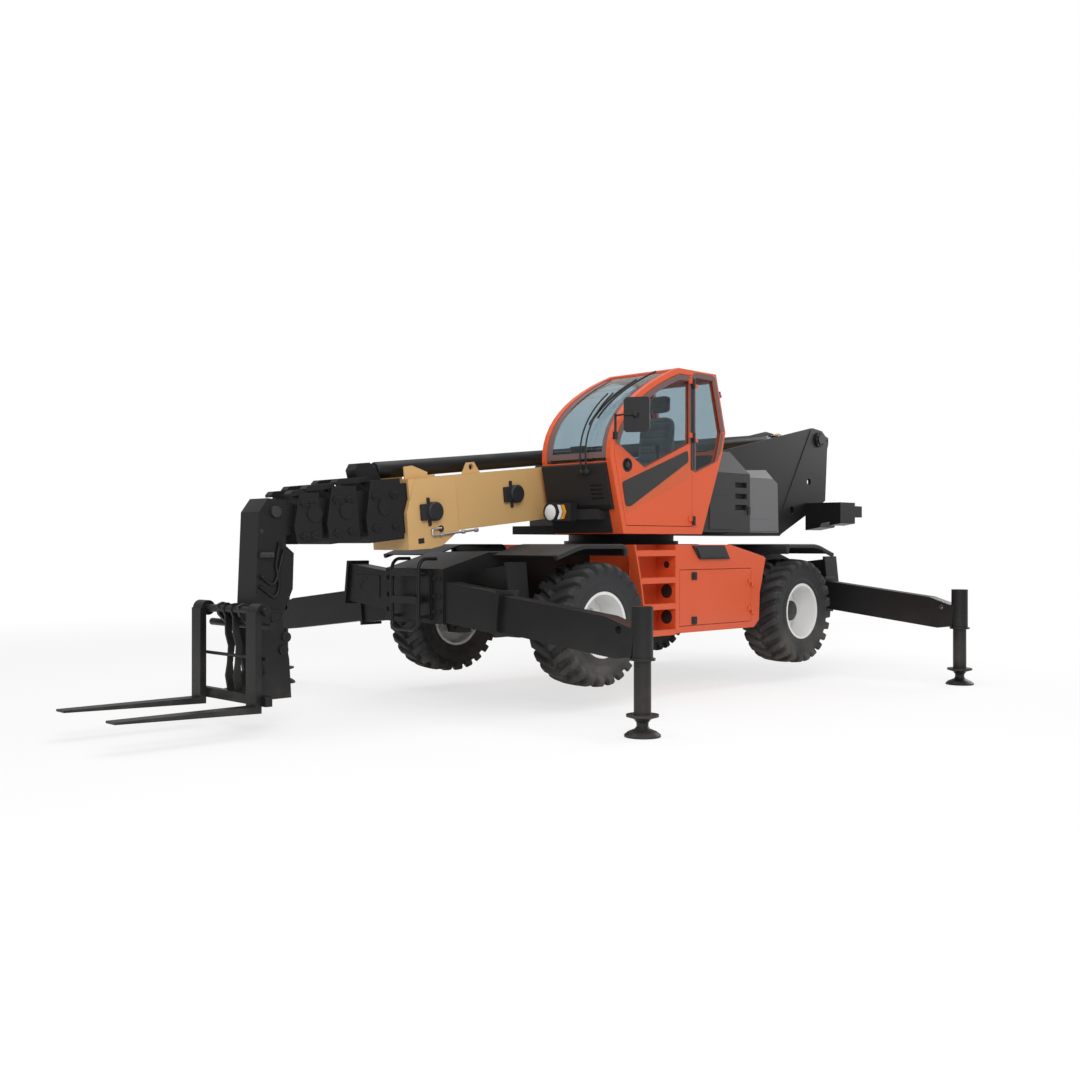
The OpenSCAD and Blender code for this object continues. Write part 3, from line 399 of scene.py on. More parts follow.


# The edge amount and edge colour set rims that are partly wear and partly painted highlight.
def coating(name, colour, rough, worn_and_highlit=None, wear=0.3, dust=0.12, fine=300.0, tone=0.08, bump=0.12, plain=None):
    """A coat over metal, plastic or rubber: clouded colour, edges recoloured for wear and painted highlight together,
    a film of dust, grain and soft edges.

    The plain values, the same all over, are set on the shader's own sockets."""
    material = bpy.data.materials.new(name)
    material.use_nodes = True
    tree = material.node_tree
    shader = tree.nodes["Principled BSDF"]
    for key, value in (plain or {}).items():
        shader.inputs[key].default_value = value
    edges = placed(tree, EDGE_WEAR_AND_HIGHLIGHT, Amount=wear)
    film = placed(tree, DUST_FILM, Amount=dust)
    grain = placed(tree, SURFACE_GRAIN, Fine=fine, Tone=tone)
    clouded = add(tree, "ShaderNodeVectorMath", {"operation": "SCALE"})
    clouded.inputs[0].default_value = colour
    put(tree, clouded.inputs["Scale"], grain["Tone"])
    # Edges take the edge colour, which is partly wear and partly a painted highlight.
    scuffed_and_highlit = mix(tree, edges["Mask"], clouded.outputs[0], (*(worn_and_highlit or [c * 2.2 + 0.03 for c in colour]), 1))
    put(tree, shader.inputs["Base Color"], mix(tree, film["Mask"], scuffed_and_highlit, DUST))
    gloss = sum_of(tree, "MULTIPLY_ADD", grain["Height"], 0.12, rough - 0.06)
    dulled = sum_of(tree, "MULTIPLY_ADD", film["Mask"], 0.35, gloss, clamp=True)
    put(tree, shader.inputs["Roughness"], dulled)
    pits = add(tree, "ShaderNodeBump", Strength=bump, Distance=0.002, Height=grain["Height"],
               Normal=edges["Normal"])
    put(tree, shader.inputs["Normal"], pits.outputs[0])
    return material


def bare_metal(name, colour, rough):
    """Ground metal: fine grain, soft edges and a thin film of dust on full metal."""
    return coating(name, colour, rough, wear=0.0, dust=0.05, fine=700.0, tone=0.05, bump=0.04,
                   plain={"Metallic": 1.0})


def tinted_glass():
    """Tinted glass: a smooth clear body with faint smears, and plain tinted light in its shadow."""
    material = bpy.data.materials.new("tinted_glass")
    material.use_nodes = True
    tree = material.node_tree
    shader = tree.nodes["Principled BSDF"]
    shader.inputs["Base Color"].default_value = (0.5, 0.585, 0.625, 1)
    shader.inputs["Transmission Weight"].default_value = 1.0
    shader.inputs["IOR"].default_value = 1.3
    smear = placed(tree, DUST_FILM, Amount=0.1, Height=0.01)
    put(tree, shader.inputs["Roughness"], sum_of(tree, "MULTIPLY_ADD", smear["Mask"], 0.5, 0.01))
    clear = add(tree, "ShaderNodeBsdfTransparent", Color=(0.66, 0.74, 0.78, 1))
    through = add(tree, "ShaderNodeMixShader")
    put(tree, through.inputs[0], add(tree, "ShaderNodeLightPath").outputs["Is Shadow Ray"])
    tree.links.new(shader.outputs[0], through.inputs[1])
    tree.links.new(clear.outputs[0], through.inputs[2])
    tree.links.new(through.outputs[0], tree.nodes["Material Output"].inputs["Surface"])
    return material


def woven_cloth():
    """Woven seat cloth: two crossing waves make warp and weft, which give height and a checked tone."""
    material = bpy.data.materials.new("woven_cloth")
    material.use_nodes = True
    tree = material.node_tree
    shader = tree.nodes["Principled BSDF"]
    shader.inputs["Sheen Weight"].default_value = 0.4
    where = add(tree, "ShaderNodeTexCoord").outputs["Object"]
    threads = [add(tree, "ShaderNodeTexWave", {"bands_direction": way}, Vector=where, Scale=90.0).outputs["Fac"]
               for way in ("X", "Y", "Z")]
    weave = sum_of(tree, "MULTIPLY", sum_of(tree, "ADD", threads[0], threads[2]), threads[1])
    film = placed(tree, DUST_FILM, Amount=0.15, Height=0.01)
    cloth = mix(tree, weave, (0.035, 0.037, 0.04, 1), (0.09, 0.093, 0.1, 1))
    put(tree, shader.inputs["Base Color"], mix(tree, film["Mask"], cloth, DUST))
    put(tree, shader.inputs["Roughness"], sum_of(tree, "MULTIPLY_ADD", weave, 0.1, 0.8, clamp=True))
    put(tree, shader.inputs["Normal"],
        add(tree, "ShaderNodeBump", Strength=0.5, Distance=0.003, Height=weave).outputs[0])
    return material


# The edge colours below are wear and painted highlight in one.
FINISH = {
    "orange_paint": coating("orange_paint", (0.72, 0.098, 0.026), 0.38, wear=0.22, worn_and_highlit=(0.85, 0.3, 0.17),
                            plain={"Coat Weight": 0.12, "Coat Roughness": 0.12}),
    "gold_paint": coating("gold_paint", (0.625, 0.385, 0.155), 0.46, wear=0.25, worn_and_highlit=(0.75, 0.56, 0.32), tone=0.16),
    "black_paint": coating("black_paint", (0.011, 0.011, 0.0115), 0.4, wear=0.35, worn_and_highlit=(0.09, 0.09, 0.094),
                           plain={"Specular IOR Level": 0.3}),
    "white_paint": coating("white_paint", (0.84, 0.84, 0.83), 0.42, wear=0.2, worn_and_highlit=(0.55, 0.54, 0.52)),
    "dark_cast": coating("dark_cast", (0.04, 0.04, 0.042), 0.6, fine=120.0, bump=0.4, dust=0.35),
    "chrome_rod": bare_metal("chrome_rod", (0.75, 0.76, 0.78), 0.12),
    "grey_plastic": coating("grey_plastic", (0.022, 0.022, 0.0235), 0.5, wear=0.2, fine=500.0, bump=0.25),
    "black_plastic": coating("black_plastic", (0.018, 0.018, 0.02), 0.5, wear=0.2, fine=500.0, bump=0.25,
                             plain={"Specular IOR Level": 0.35}),
    "glass": tinted_glass(),
    "seat_fabric": woven_cloth(),
    "tyre": coating("tyre", (0.024, 0.025, 0.027), 0.72, wear=0.15, worn_and_highlit=(0.06, 0.06, 0.062), dust=0.3,
                    fine=160.0, bump=0.3, tone=0.2),
}
ZINC = bare_metal("zinc", (0.62, 0.63, 0.65), 0.35)
LENS = coating("clear_lens", (0.86, 0.87, 0.88), 0.16, wear=0.0, dust=0.03, fine=60.0, bump=0.5)
AMBER = coating("amber_lens", (0.85, 0.36, 0.02), 0.2, wear=0.0, dust=0.03, fine=60.0, bump=0.5)
RED = coating("red_lens", (0.55, 0.02, 0.015), 0.2, wear=0.0, dust=0.03, fine=60.0, bump=0.5)
MIRROR = bare_metal("mirror_glass", (0.82, 0.84, 0.85), 0.05)
PALE_GREY = coating("pale_grey_plastic", (0.135, 0.135, 0.14), 0.5, wear=0.2, fine=500.0, bump=0.25)
PALE_ORANGE = coating("pale_orange_paint", (0.627, 0.109, 0.032), 0.38, wear=0.0)
EDGE = coating("glass_edge", (0.17, 0.105, 0.1), 0.14, wear=0.0, dust=0.03, fine=60.0, bump=0.02)
TONES = {"rear_cover": PALE_GREY}

for part in frame["record"]["subparts"]:
    node = frame["nodes"][part["node"]]
    node.data.materials.clear()
    node.data.materials.append(TONES.get(part["node"], FINISH[part["material_slot"]]))


# Wheels

LUGS = 24
LUG_HEIGHT = 0.045
LUG_START, LUG_SWEEP = 0.113, 0.21
LUG_FOOT, LUG_TOP, LUG_WIDEN = 0.041, 0.025, 0.012
BEAD_R, RING_R = 0.3005, 0.36
NUTS, NUT_CIRCLE_R = 10, 0.148
RIM_LIP = ((0.2085, 0.31), (0.212, 0.314), (0.2135, 0.335), (0.2115, 0.368), (0.204, 0.38), (0.198, 0.362),
           (0.2085, 0.345), (0.2085, 0.31))


def step(values, low, high):
    """A smooth step from 0 at low to 1 at high."""
    t = np.clip((values - low) / (high - low), 0, 1)
    return t * t * (3 - 2 * t)


def lugged_tyre(corner):
    """A tyre as a grid of angle and place across its section.

    Slanted lugs stand out along the section's normal: each is a bar about a line whose angle grows towards the
    shoulder, wider there, and the two sides are half a pitch apart. A fine ring runs round each side wall, and a
    lip lies over each flange of the rim."""
    low, high = (np.array(p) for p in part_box("tyre_" + corner))
    middle = np.array(JOINTS["spin_" + corner]["pos_m"])
    reach, half = (high[2] - low[2]) / 2, (high[1] - low[1]) / 2
    base = reach - LUG_HEIGHT
    knots = np.array([(BEAD_R, 0.84 * half), (BEAD_R + 0.03, 0.84 * half), (0.375, 0.93 * half), (0.44, 0.965 * half),
                      (0.5, 0.95 * half), (0.527, 0.87 * half), (base - 0.006, 0.66 * half), (base, 0.3 * half),
                      (base, 0)])
    knots = np.concatenate([knots, knots[-2::-1] * (1, -1)])
    run = np.concatenate([[0], np.cumsum(np.linalg.norm(np.diff(knots, axis=0), axis=1))])
    where = np.linspace(0, run[-1], 73)
    radius, across = (np.interp(where, run, knots[:, k]) for k in (0, 1))
    slope = unit(np.stack([np.gradient(radius), np.gradient(across)], -1))
    out = np.stack([-slope[:, 1], slope[:, 0]], -1)
    side = np.sign(across) * (1 if middle[1] > 0 else -1)
    from_crown = np.abs(where - run[-1] / 2)
    share = from_crown / (0.47 * run[-1] / 2)
    angle = np.linspace(0, 2 * np.pi, 721)[:, None]
    pitch = 2 * np.pi / LUGS
    sweep = LUG_SWEEP * np.clip(share, 0, 1.1) ** 0.9
    phase = (angle - LUG_START + sweep + pitch * (side > 0) / 2) / pitch
    off_line = np.abs(phase - np.floor(phase) - 0.5) * pitch * reach
    widen = LUG_WIDEN * np.clip(share, 0, 1)
    bar = step(-off_line, -LUG_FOOT - widen, -LUG_TOP - widen)
    bar = bar * step(from_crown, 0.0, 0.016) * step(-share, -1.3, -1.02)
    height = LUG_HEIGHT * bar + 0.0025 * np.exp(-((radius - RING_R) / 0.006) ** 2)
    r = radius + height * out[:, 0]
    y = across + height * out[:, 1]
    grid = middle + np.stack([r * np.sin(angle), y * np.ones_like(angle), r * np.cos(angle)], -1)
    inner = np.repeat(grid[:, -1:], 2, axis=1)
    inner[:, 1] = grid[:, 0]
    lips = [lathe(RIM_LIP, middle, way * Y, 96) for way in (1, -1)]
    obj = piece("lugged_tyre_" + corner, [grid, inner, *lips], FINISH["tyre"], "wheel_" + corner, sharp=50)
    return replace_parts(obj, "tyre_" + corner)


def wheel_hub(corner):
    """A dark stepped hub cap with a ring of wheel nuts, on the outer side of the rim."""
    middle = np.array(JOINTS["spin_" + corner]["pos_m"])
    out = Y * np.sign(middle[1])
    cap = [(-0.03, 0.112), (0.062, 0.112), (0.07, 0.106), (0.084, 0.088), (0.09, 0.07), (0.092, 0.05),
           (0.1, 0.046), (0.1, 0)]
    piece("hub_cap_" + corner, [lathe(cap, middle, out, 48)], FINISH["dark_cast"], "wheel_" + corner)
    side, up, _ = square_to(out)
    turn = np.arange(NUTS) * 2 * np.pi / NUTS
    places = middle - 0.034 * out + NUT_CIRCLE_R * (np.cos(turn)[:, None] * side + np.sin(turn)[:, None] * up)
    piece("wheel_nuts_" + corner, bolts(places, out, 0.015), ZINC, "wheel_" + corner)


for corner in CORNERS:
    lugged_tyre(corner)
    wheel_hub(corner)


# Seat

VOXEL, PRESSURE, FRAMES = 0.01, 4.0, 20
SWELL = 0.015
GROOVE_DEPTH, GROOVE_WIDTH = 0.008, 0.012
REST_SHARE = 0.42


def settle(obj):
    """Put what an object's modifiers make of it into its mesh, and take them off."""
    shaped = obj.evaluated_get(bpy.context.evaluated_depsgraph_get())
    obj.data = bpy.data.meshes.new_from_object(shaped)
    obj.modifiers.clear()


def swollen(grid):
    """A pad's mesh swollen as cloth: remeshed evenly, blown up without gravity, each point's way capped at SWELL.

    It ends with one subdivision."""
    scene = bpy.context.scene
    draft = bpy.data.objects.new("draft", grid_mesh("draft", [grid]))
    scene.collection.objects.link(draft)
    even = draft.modifiers.new("even", "REMESH")
    even.mode, even.voxel_size = "VOXEL", VOXEL
    settle(draft)
    start = points_of(draft.data)
    cloth = draft.modifiers.new("cloth", "CLOTH").settings
    cloth.use_pressure, cloth.uniform_pressure_force = True, PRESSURE
    cloth.effector_weights.gravity = 0.0
    for number in range(1, FRAMES + 1):
        scene.frame_set(number)
    settle(draft)
    scene.frame_set(1)
    move = points_of(draft.data) - start
    way = np.linalg.norm(move, axis=1, keepdims=True)
    end = start + move * np.minimum(1, SWELL / np.maximum(way, WELD))
    draft.data.vertices.foreach_set("co", end.ravel())
    draft.data.update()
    draft.modifiers.new("fine", "SUBSURF").levels = 1
    settle(draft)
    mesh = draft.data
    bpy.data.objects.remove(draft)
    return mesh


def seat_pad(name, middle, size, tilt, grooves, rests):
    """A seat pad: swollen, flat on the side that rests on its shell, grooved across its length, leant and placed.

    Each groove scales the height down by a bell: 1 - depth * exp(-(distance / width) ** 2) / half the height."""
    mesh = swollen(pad(np.asarray(size) - 2 * SWELL))
    points = points_of(mesh)
    points[:, 2] = rests * np.minimum(rests * points[:, 2], REST_SHARE * size[2])
    bell = np.exp(-((points[:, :1] - np.asarray(grooves)) / GROOVE_WIDTH) ** 2).sum(1)
    points[:, 2] *= 1 - GROOVE_DEPTH * bell / (size[2] / 2)
    points = lean(points + middle, middle, tilt)
    mesh.vertices.foreach_set("co", points.astype(np.float32).ravel())
    mesh.update()
    obj = dressed(name, mesh, FINISH["seat_fabric"], "turret", 80)
    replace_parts(obj, "cab_seat")


def driver_seat():
    """Seat cushion, backrest and headrest."""
    low, high = (np.array(p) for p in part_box("cab_seat"))
    y = (low[1] + high[1]) / 2
    seat_pad("seat_cushion", spot(0.585, y, 2.135), (0.52, 0.5, 0.15), 0, np.arange(-0.16, 0.2, 0.08), -1)
    seat_pad("seat_backrest", spot(0.32, y, 2.52), (0.66, 0.48, 0.14), -96, np.arange(-0.24, 0.28, 0.08), 1)
    seat_pad("seat_headrest", spot(0.25, y, 2.96), (0.2, 0.27, 0.09), -94, [0.0], 1)


driver_seat()


# Cab

NOSE_TOP, ROOF_BEND, ROOF_FRONT = (1.53, 2.33), (1.555, 2.88), (0.52, 3.27)
CAB_LEFT, CAB_RIGHT = 1.22, 0.31
DOOR_HINGES = (1.745, 2.585, 3.13)


def on_screen(y, t, lift=0.0):
    """Points on the bent windscreen at one y, lifted off it along its normal in the X Z plane."""
    flat = curve((NOSE_TOP, ROOF_BEND, ROOF_FRONT), t)
    slope = unit(np.gradient(flat, axis=0))
    flat = flat + lift * np.stack([slope[:, 1], -slope[:, 0]], -1)
    return spot(0, y, 0) + flat[:, :1] * X + flat[:, 1:] * Z


def pane_band(node, y, width):
    """The dark band round a pane: from its edge outwards along the edge's normal, thin where that looks down."""
    loop = pane_edge(node, y)
    run = np.concatenate([[0], np.cumsum(np.linalg.norm(np.diff(loop, axis=0), axis=1))])
    x, z = (np.interp(np.linspace(0, run[-1], 161), run, loop[:, k]) for k in (0, 2))
    slope = unit(np.stack([np.gradient(x), np.gradient(z)], -1))
    reach = 0.004 + width * step(-slope[:, 0], -0.6, -0.1)
    edge = np.stack([x, np.full_like(x, CAB_LEFT - 0.001), z], -1)
    out = np.stack([slope[:, 1], np.zeros_like(x), -slope[:, 0]], -1)
    return strip(edge, edge + reach[:, None] * out, 0.003 * Y)


def cab_borders():
    """Dark bands of the glass over its frame, round the side panes and along the windscreen, and thin seals."""
    door_y, right_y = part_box("door_glass")[1][1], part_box("cab_glass")[0][1]
    piece("door_glass_edge", [pane_band("door_glass", door_y, 0.05)], EDGE, "cab_door", 60)
    rise = np.linspace(0, 0.93, 40)
    bands = [pane_band("cab_glass", door_y, 0.05)]
    for near, far in ((CAB_RIGHT + 0.063, CAB_RIGHT + 0.14), (CAB_LEFT - 0.063, CAB_LEFT - 0.12)):
        bands.append(strip(on_screen(near, rise, -0.01), on_screen(far, rise, -0.01), 0.002 * X))
    sill = np.linspace(CAB_RIGHT + 0.063, CAB_LEFT - 0.063, 12)[:, None] * Y
    low, high = (on_screen(0, [t, t + 0.01], -0.01)[0] for t in (0.0, 0.055))
    bands.append(strip(low + sill, high + sill, 0.002 * X))
    piece("cab_glass_edge", bands, EDGE, "turret", 60)
    black = FINISH["black_plastic"]
    piece("door_seal", [tube(pane_edge("door_glass", door_y), 0.007, 8)], black, "cab_door", 60)
    piece("cab_seals", [tube(pane_edge("cab_glass", y), 0.007, 8) for y in (door_y, right_y)], black, "turret",
          60)


def wipers():
    """Two wipers: arms that rise from the nose along the windscreen, and blades that lie along its bend."""
    grids = []
    for y, t0, t1, thick in ((0.87, 0.3, 0.8, 0.013), (0.94, 0.36, 0.92, 0.01)):
        rise = np.linspace(0.04, 0.62, 8)
        foot = spot(1.565, y, 2.2)
        arm = np.concatenate([[foot, foot + 0.07 * Z], on_screen(y, rise, 0.045)])
        blade = on_screen(y + 0.03, np.linspace(t0, t1, 20), 0.028) + np.linspace(0, 0.1, 20)[:, None] * Y
        grids += [tube(smooth(arm), 0.008, 8), tube(blade, thick, 8), disc(foot - 0.03 * X, X, 0.024, 0.04)]
    piece("wipers", grids, FINISH["black_plastic"], "turret", 60)


def door_trim():
    """A pale band and a dark panel across the door, its round handle, and covers along the hinge line."""
    panel = rounded([(1.368, 2.103), (0.371, 2.456), (0.36, 2.342), (1.253, 1.872), (1.319, 1.876)], 0.03)
    band = rounded([(1.375, 2.15), (1.118, 2.215), (0.363, 2.476), (0.342, 2.189), (1.305, 1.807)], 0.02)
    piece("door_band", [on_left(band, CAB_LEFT, 0.002, 0.001)], PALE_ORANGE, "cab_door")
    piece("door_trim", [on_left(panel, CAB_LEFT, 0.006)], FINISH["grey_plastic"], "cab_door")
    cup = spot(1.29, CAB_LEFT, 2.268)
    bowl = [(-0.027, 0), (-0.027, 0.04), (-0.004, 0.05), (0.005, 0.057), (0.005, 0.066), (0.0, 0.068)]
    grip = lathe([(-0.02, 0), (-0.02, 0.03), (0.0, 0.032), (0.003, 0.028), (0.003, 0)], cup, Y, 32)
    piece("door_handle", [lathe(bowl, cup, Y, 40), grip], FINISH["black_plastic"], "cab_door")
    for name, body, x0, x1, z0, z1 in (("hinge_covers", "turret", 0.256, 0.288, -0.041, 0.0),
                                       ("door_hinge_covers", "cab_door", 0.292, 0.322, 0.0, 0.051)):
        pin = [(0, 0), (0, 0.0175), (z1 - z0 - 0.001, 0.0175), (z1 - z0 - 0.001, 0)]
        grids = [lathe(pin, spot(0.29, CAB_LEFT + 0.016, z + z0), Z, 24) for z in DOOR_HINGES]
        grids.append(on_left(oblong(x0 + 0.008, x1, 2.26, 3.16, 0.004), CAB_LEFT, 0.004))
        piece(name, grids, FINISH["black_plastic"], body)


def cab_lining():
    """Dark lining on the inside of the right and rear walls, and a rubber mat on the floor."""
    wall = on_left([(0.2, 1.69), (1.27, 1.69), (1.43, 2.28), (-0.1, 2.46)], CAB_RIGHT + 0.056, 0.004)
    mat = plate(oblong(0.32, 1.26, -0.34, 0.34, 0.03), spot(0, CAB_RIGHT + 0.455, 1.671), X, Y, 0.006)
    low, high = spot(0.205, CAB_RIGHT + 0.455, 1.7), spot(-0.13, CAB_RIGHT + 0.455, 2.44)
    height = np.linalg.norm(high - low)
    rear = plate(oblong(-0.39, 0.39, 0.0, height, 0.02), low, Y, (high - low) / height, 0.004)
    piece("cab_lining", [wall, rear, mat], FINISH["black_plastic"], "turret")


LAMP = (1.574, 0.476, 1.826)
MIRROR_TURN = math.radians(30)


def arrow_lens(y):
    """An arrow that points to the left beside the headlamp, its upper and its lower wing."""
    wing = np.array([(0.0, 0.07), (0.034, 0.07), (0.066, 0.0), (0.032, 0.0)])
    return [plate((wing * (1, side) + (y, LAMP[2]))[::side], spot(LAMP[0], 0, 0), Y, Z, 0.012) for side in (1, -1)]


def lamps():
    """A domed headlamp lens, arrow-shaped flashers beside it, a red rear lens, the mirror's glass and its mount."""
    dome = [(0, 0), (0, 0.077), (0.006, 0.077), (0.014, 0.06), (0.019, 0.03), (0.02, 0)]
    piece("lamp_lens", [lathe(dome, spot(*LAMP), X, 48), *arrow_lens(0.575)], LENS, "turret")
    piece("flasher_lens", arrow_lens(0.625), AMBER, "turret")
    tail = spot(-0.2, CAB_LEFT - 0.045, 3.06)
    piece("rear_lens", [lathe([(0, 0), (0, 0.022), (0.03, 0.02), (0.036, 0)], tail, -X - 0.2 * Z, 24)], RED,
          "turret")
    facing = np.array([math.cos(MIRROR_TURN), math.sin(MIRROR_TURN), 0])
    glass = oblong(-0.11, 0.11, -0.15, 0.15, 0.02)
    back = spot(1.56, CAB_LEFT + 0.35, 2.7) - 0.016 * facing
    piece("mirror_glass", [plate(glass, back, np.cross(facing, Z), Z, 0.004)], MIRROR, "turret")
    front = spot(1.578, CAB_LEFT + 0.35, 2.7)
    boss = lathe([(-0.002, 0), (-0.002, 0.034), (0.012, 0.03), (0.03, 0.016), (0.03, 0)], front, facing, 32)
    bar = np.linspace(front, front + 0.118 * np.cross(facing, Z), 6) + 0.012 * facing
    piece("mirror_mount", [boss, tube(bar, 0.009, 10)], FINISH["black_plastic"], "turret")


def controls():
    """Two control sticks on the consoles and a small screen beside the windscreen."""
    stick = [(0, 0), (0, 0.034), (0.02, 0.03), (0.03, 0.012), (0.075, 0.012), (0.1, 0.022), (0.15, 0.026),
             (0.172, 0.016), (0.175, 0)]
    grids = [lathe(stick, spot(0.68, y, 2.33), Z, 24) for y in (0.448, 1.082)]
    grids.append(plate(oblong(-0.1, 0.1, -0.07, 0.07, 0.01), spot(1.22, 0.5, 2.42), -Y, Z, 0.03))
    grids.append(tube(np.linspace(spot(1.22, 0.5, 2.36), spot(1.2, 0.66, 2.14), 6), 0.012, 8))
    piece("controls", grids, FINISH["black_plastic"], "turret")


cab_borders()
wipers()
door_trim()
cab_lining()
lamps()
controls()


# Chassis

BOX_LEFT = 1.2
STEP_HEIGHTS = (0.657, 0.916, 1.174, 1.442)
STEP_EDGE = ((0.995, 0.64), (1.044, 1.079), (1.166, 1.51))


def step_trim():
    """Saw-tooth edges on the treads and the box's slope, and black discs of painted shade for the round holes in the
    wall behind the steps.
    """
    edge = curve(STEP_EDGE, np.linspace(0, 1, 40))
    ends = np.interp(STEP_HEIGHTS, edge[:, 1], edge[:, 0]) - 0.022
    grids = [toothed(spot(0.545, BOX_LEFT, z), spot(x, BOX_LEFT, z), Z, Y, 0.018, 0.004)
             for z, x in zip(STEP_HEIGHTS, ends)]
    top, low = spot(-0.34, BOX_LEFT - 0.004, 1.506), spot(-0.99, BOX_LEFT - 0.004, 1.368)
    grids.append(toothed(top, low, unit(np.cross(Y, low - top)), Y, 0.016, 0.004))
    piece("step_teeth", grids, FINISH["orange_paint"], "chassis")
    openings = ((0.787, 0.07), (1.045, 0.07), (1.31, 0.035))
    # These black discs are painted shade standing in for the holes.
    holes = [disc(spot(0.54, 1.085, z), X, radius, 0.002, 0.001) for z, radius in openings]
    piece("step_holes", holes, FINISH["black_plastic"], "chassis")
    ladder = [toothed(spot(x, -0.17, z), spot(x, 0.17, z), Z, X, 0.014, 0.004)
              for z in (1.028, 1.278) for x in (2.96, 3.02)]
    piece("ladder_teeth", ladder, FINISH["black_paint"], "chassis")


def box_latches():
    """Two square latches with round locks on the side box's door."""
    squares = [on_left(oblong(0.205, 0.285, z - 0.04, z + 0.04), BOX_LEFT, 0.012) for z in (0.742, 1.192)]
    locks = [disc(spot(0.245, BOX_LEFT + 0.012, z), Y, 0.017, 0.006) for z in (0.742, 1.192)]
    piece("box_latches", squares + locks, FINISH["black_plastic"], "box_door")


FRONT_X, FRONT_SLANT = 2.9, 0.05


def on_front(y, z):
    """A point just off the front of the frame, which slants forward on the right."""
    return spot(FRONT_X + 0.0005 - FRONT_SLANT * min(y, 0), y, z)


def front_trim():
    """Bolt heads beside the ladder, and a low panel with a bowed bead, all on the slanted front of the housing."""
    slant = unit(np.array([-FRONT_SLANT, 1.0, 0.0]))
    places = [on_front(y, z) for y in (-0.38, -0.3, 0.3, 0.38) for z in (0.9, 1.04, 1.2)]
    panel = plate(oblong(-0.86, -0.48, 1.0, 1.22, 0.02), spot(FRONT_X, 0, 0), slant, Z, 0.008)
    arch = curve(((-0.66, 1.03), (-0.86, 1.11), (-0.66, 1.19)), np.linspace(0, 1, 16))
    bow = np.array([on_front(y, z) for y, z in arch])
    piece("front_trim", bolts(places, X, 0.016) + [panel, tube(bow + 0.008 * X, 0.006, 8)], FINISH["black_paint"],
          "chassis")


FENDER_LINE = ((0.64, 1.414), (0.3, 1.516), (-0.325, 1.516), (-0.325, 1.405))
FENDER_BEND, FENDER_LIP, LIP_BEND, SHEET = 0.09, 0.046, 0.017, 0.012
AXLE_X, RAIL_Y = 1.65, 0.42


def fender_sheets():
    """Fenders as pressed sheets: a bent line over the wheel, swept across it, with a thick lip at the outer edge.

    Each point is line + depth * inward normal + y * Y, where y and depth run round the sheet's section."""
    line = bent(FENDER_LINE, FENDER_BEND, 10)
    slope = unit(np.gradient(line, axis=0))
    inward = np.stack([-slope[:, 1], slope[:, 0]], -1)
    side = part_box("fenders")[1][1]
    section = bent([(RAIL_Y, 0), (side, 0), (side, FENDER_LIP), (side - FENDER_LIP, FENDER_LIP),
                    (side - FENDER_LIP - 0.004, SHEET), (RAIL_Y, SHEET)], LIP_BEND)
    flat = line[:, None] + section[None, :, 1:] * inward[:, None]
    y = np.broadcast_to(section[:, 0], flat.shape[:2])
    grids = []
    for end in (1, -1):
        sheet = spot(0, 0, 0) + np.stack([end * (AXLE_X + flat[..., 0]), y, flat[..., 1]], -1)
        half = len(section) // 2
        grids.append(np.concatenate([sheet, sheet[:, :1]], axis=1))
        grids += [np.stack([rim[:half], rim[::-1][:half]], 1) for rim in (sheet[0], sheet[-1])]
    sheets = piece("fender_sheets", grids + mirrored(grids), FINISH["black_plastic"], "chassis", 30)
    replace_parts(sheets, "fenders")


step_trim()
box_latches()
front_trim()
fender_sheets()


# Turret

def turret_trim():
    """Bolts round the boom's pivot, a weld seam on each plate, and panels and latches on the covers."""
    turn = np.arange(8) * np.pi / 4
    ring = PIVOT + 0.392 * Y + 0.078 * (np.cos(turn)[:, None] * X + np.sin(turn)[:, None] * Z)
    bolted = bolts(ring, Y, 0.009)
    seam = tube(np.linspace(spot(-3.2, 0.371, 2.956), spot(-2.58, 0.371, 1.95), 12), 0.007, 8)
    piece("pivot_bolts", bolted + mirrored(bolted), FINISH["dark_cast"], "turret")
    piece("plate_seams", [seam, *mirrored([seam])], FINISH["black_paint"], "turret")
    grey, black = FINISH["grey_plastic"], FINISH["black_plastic"]
    piece("cover_panel", [on_left(oblong(-0.5, -0.1, 1.67, 2.02, 0.02), 1.13, 0.008)], grey, "turret")
    piece("rear_cover_panel", [on_left(oblong(-1.395, -0.86, 1.655, 1.78, 0.02), 1.09, 0.008)], PALE_GREY,
          "turret")
    dark = [on_left(oblong(-0.758, -0.555, z - 0.027, z + 0.027, 0.006), 1.0855, 0.004)
            for z in (1.905, 2.025, 2.145)]
    dark.append(on_left(oblong(-0.815, -0.775, 1.83, 1.92, 0.01), 1.13, 0.012))
    piece("cover_vents", dark, black, "turret")


turret_trim()


# Boom

SECTIONS = {2: (7.1, 0.40), 3: (7.49, 0.33), 4: (7.8, 0.27)}
BASE_HALF, SECTION_STEP, COLLAR = 0.25, 0.027, 0.038
AXIS_W = -0.314
BASE_TOP = AXIS_W + 0.255
EXTENSION_R = 0.077
PIPE_R, PIPE_Y = 0.011, 0.282


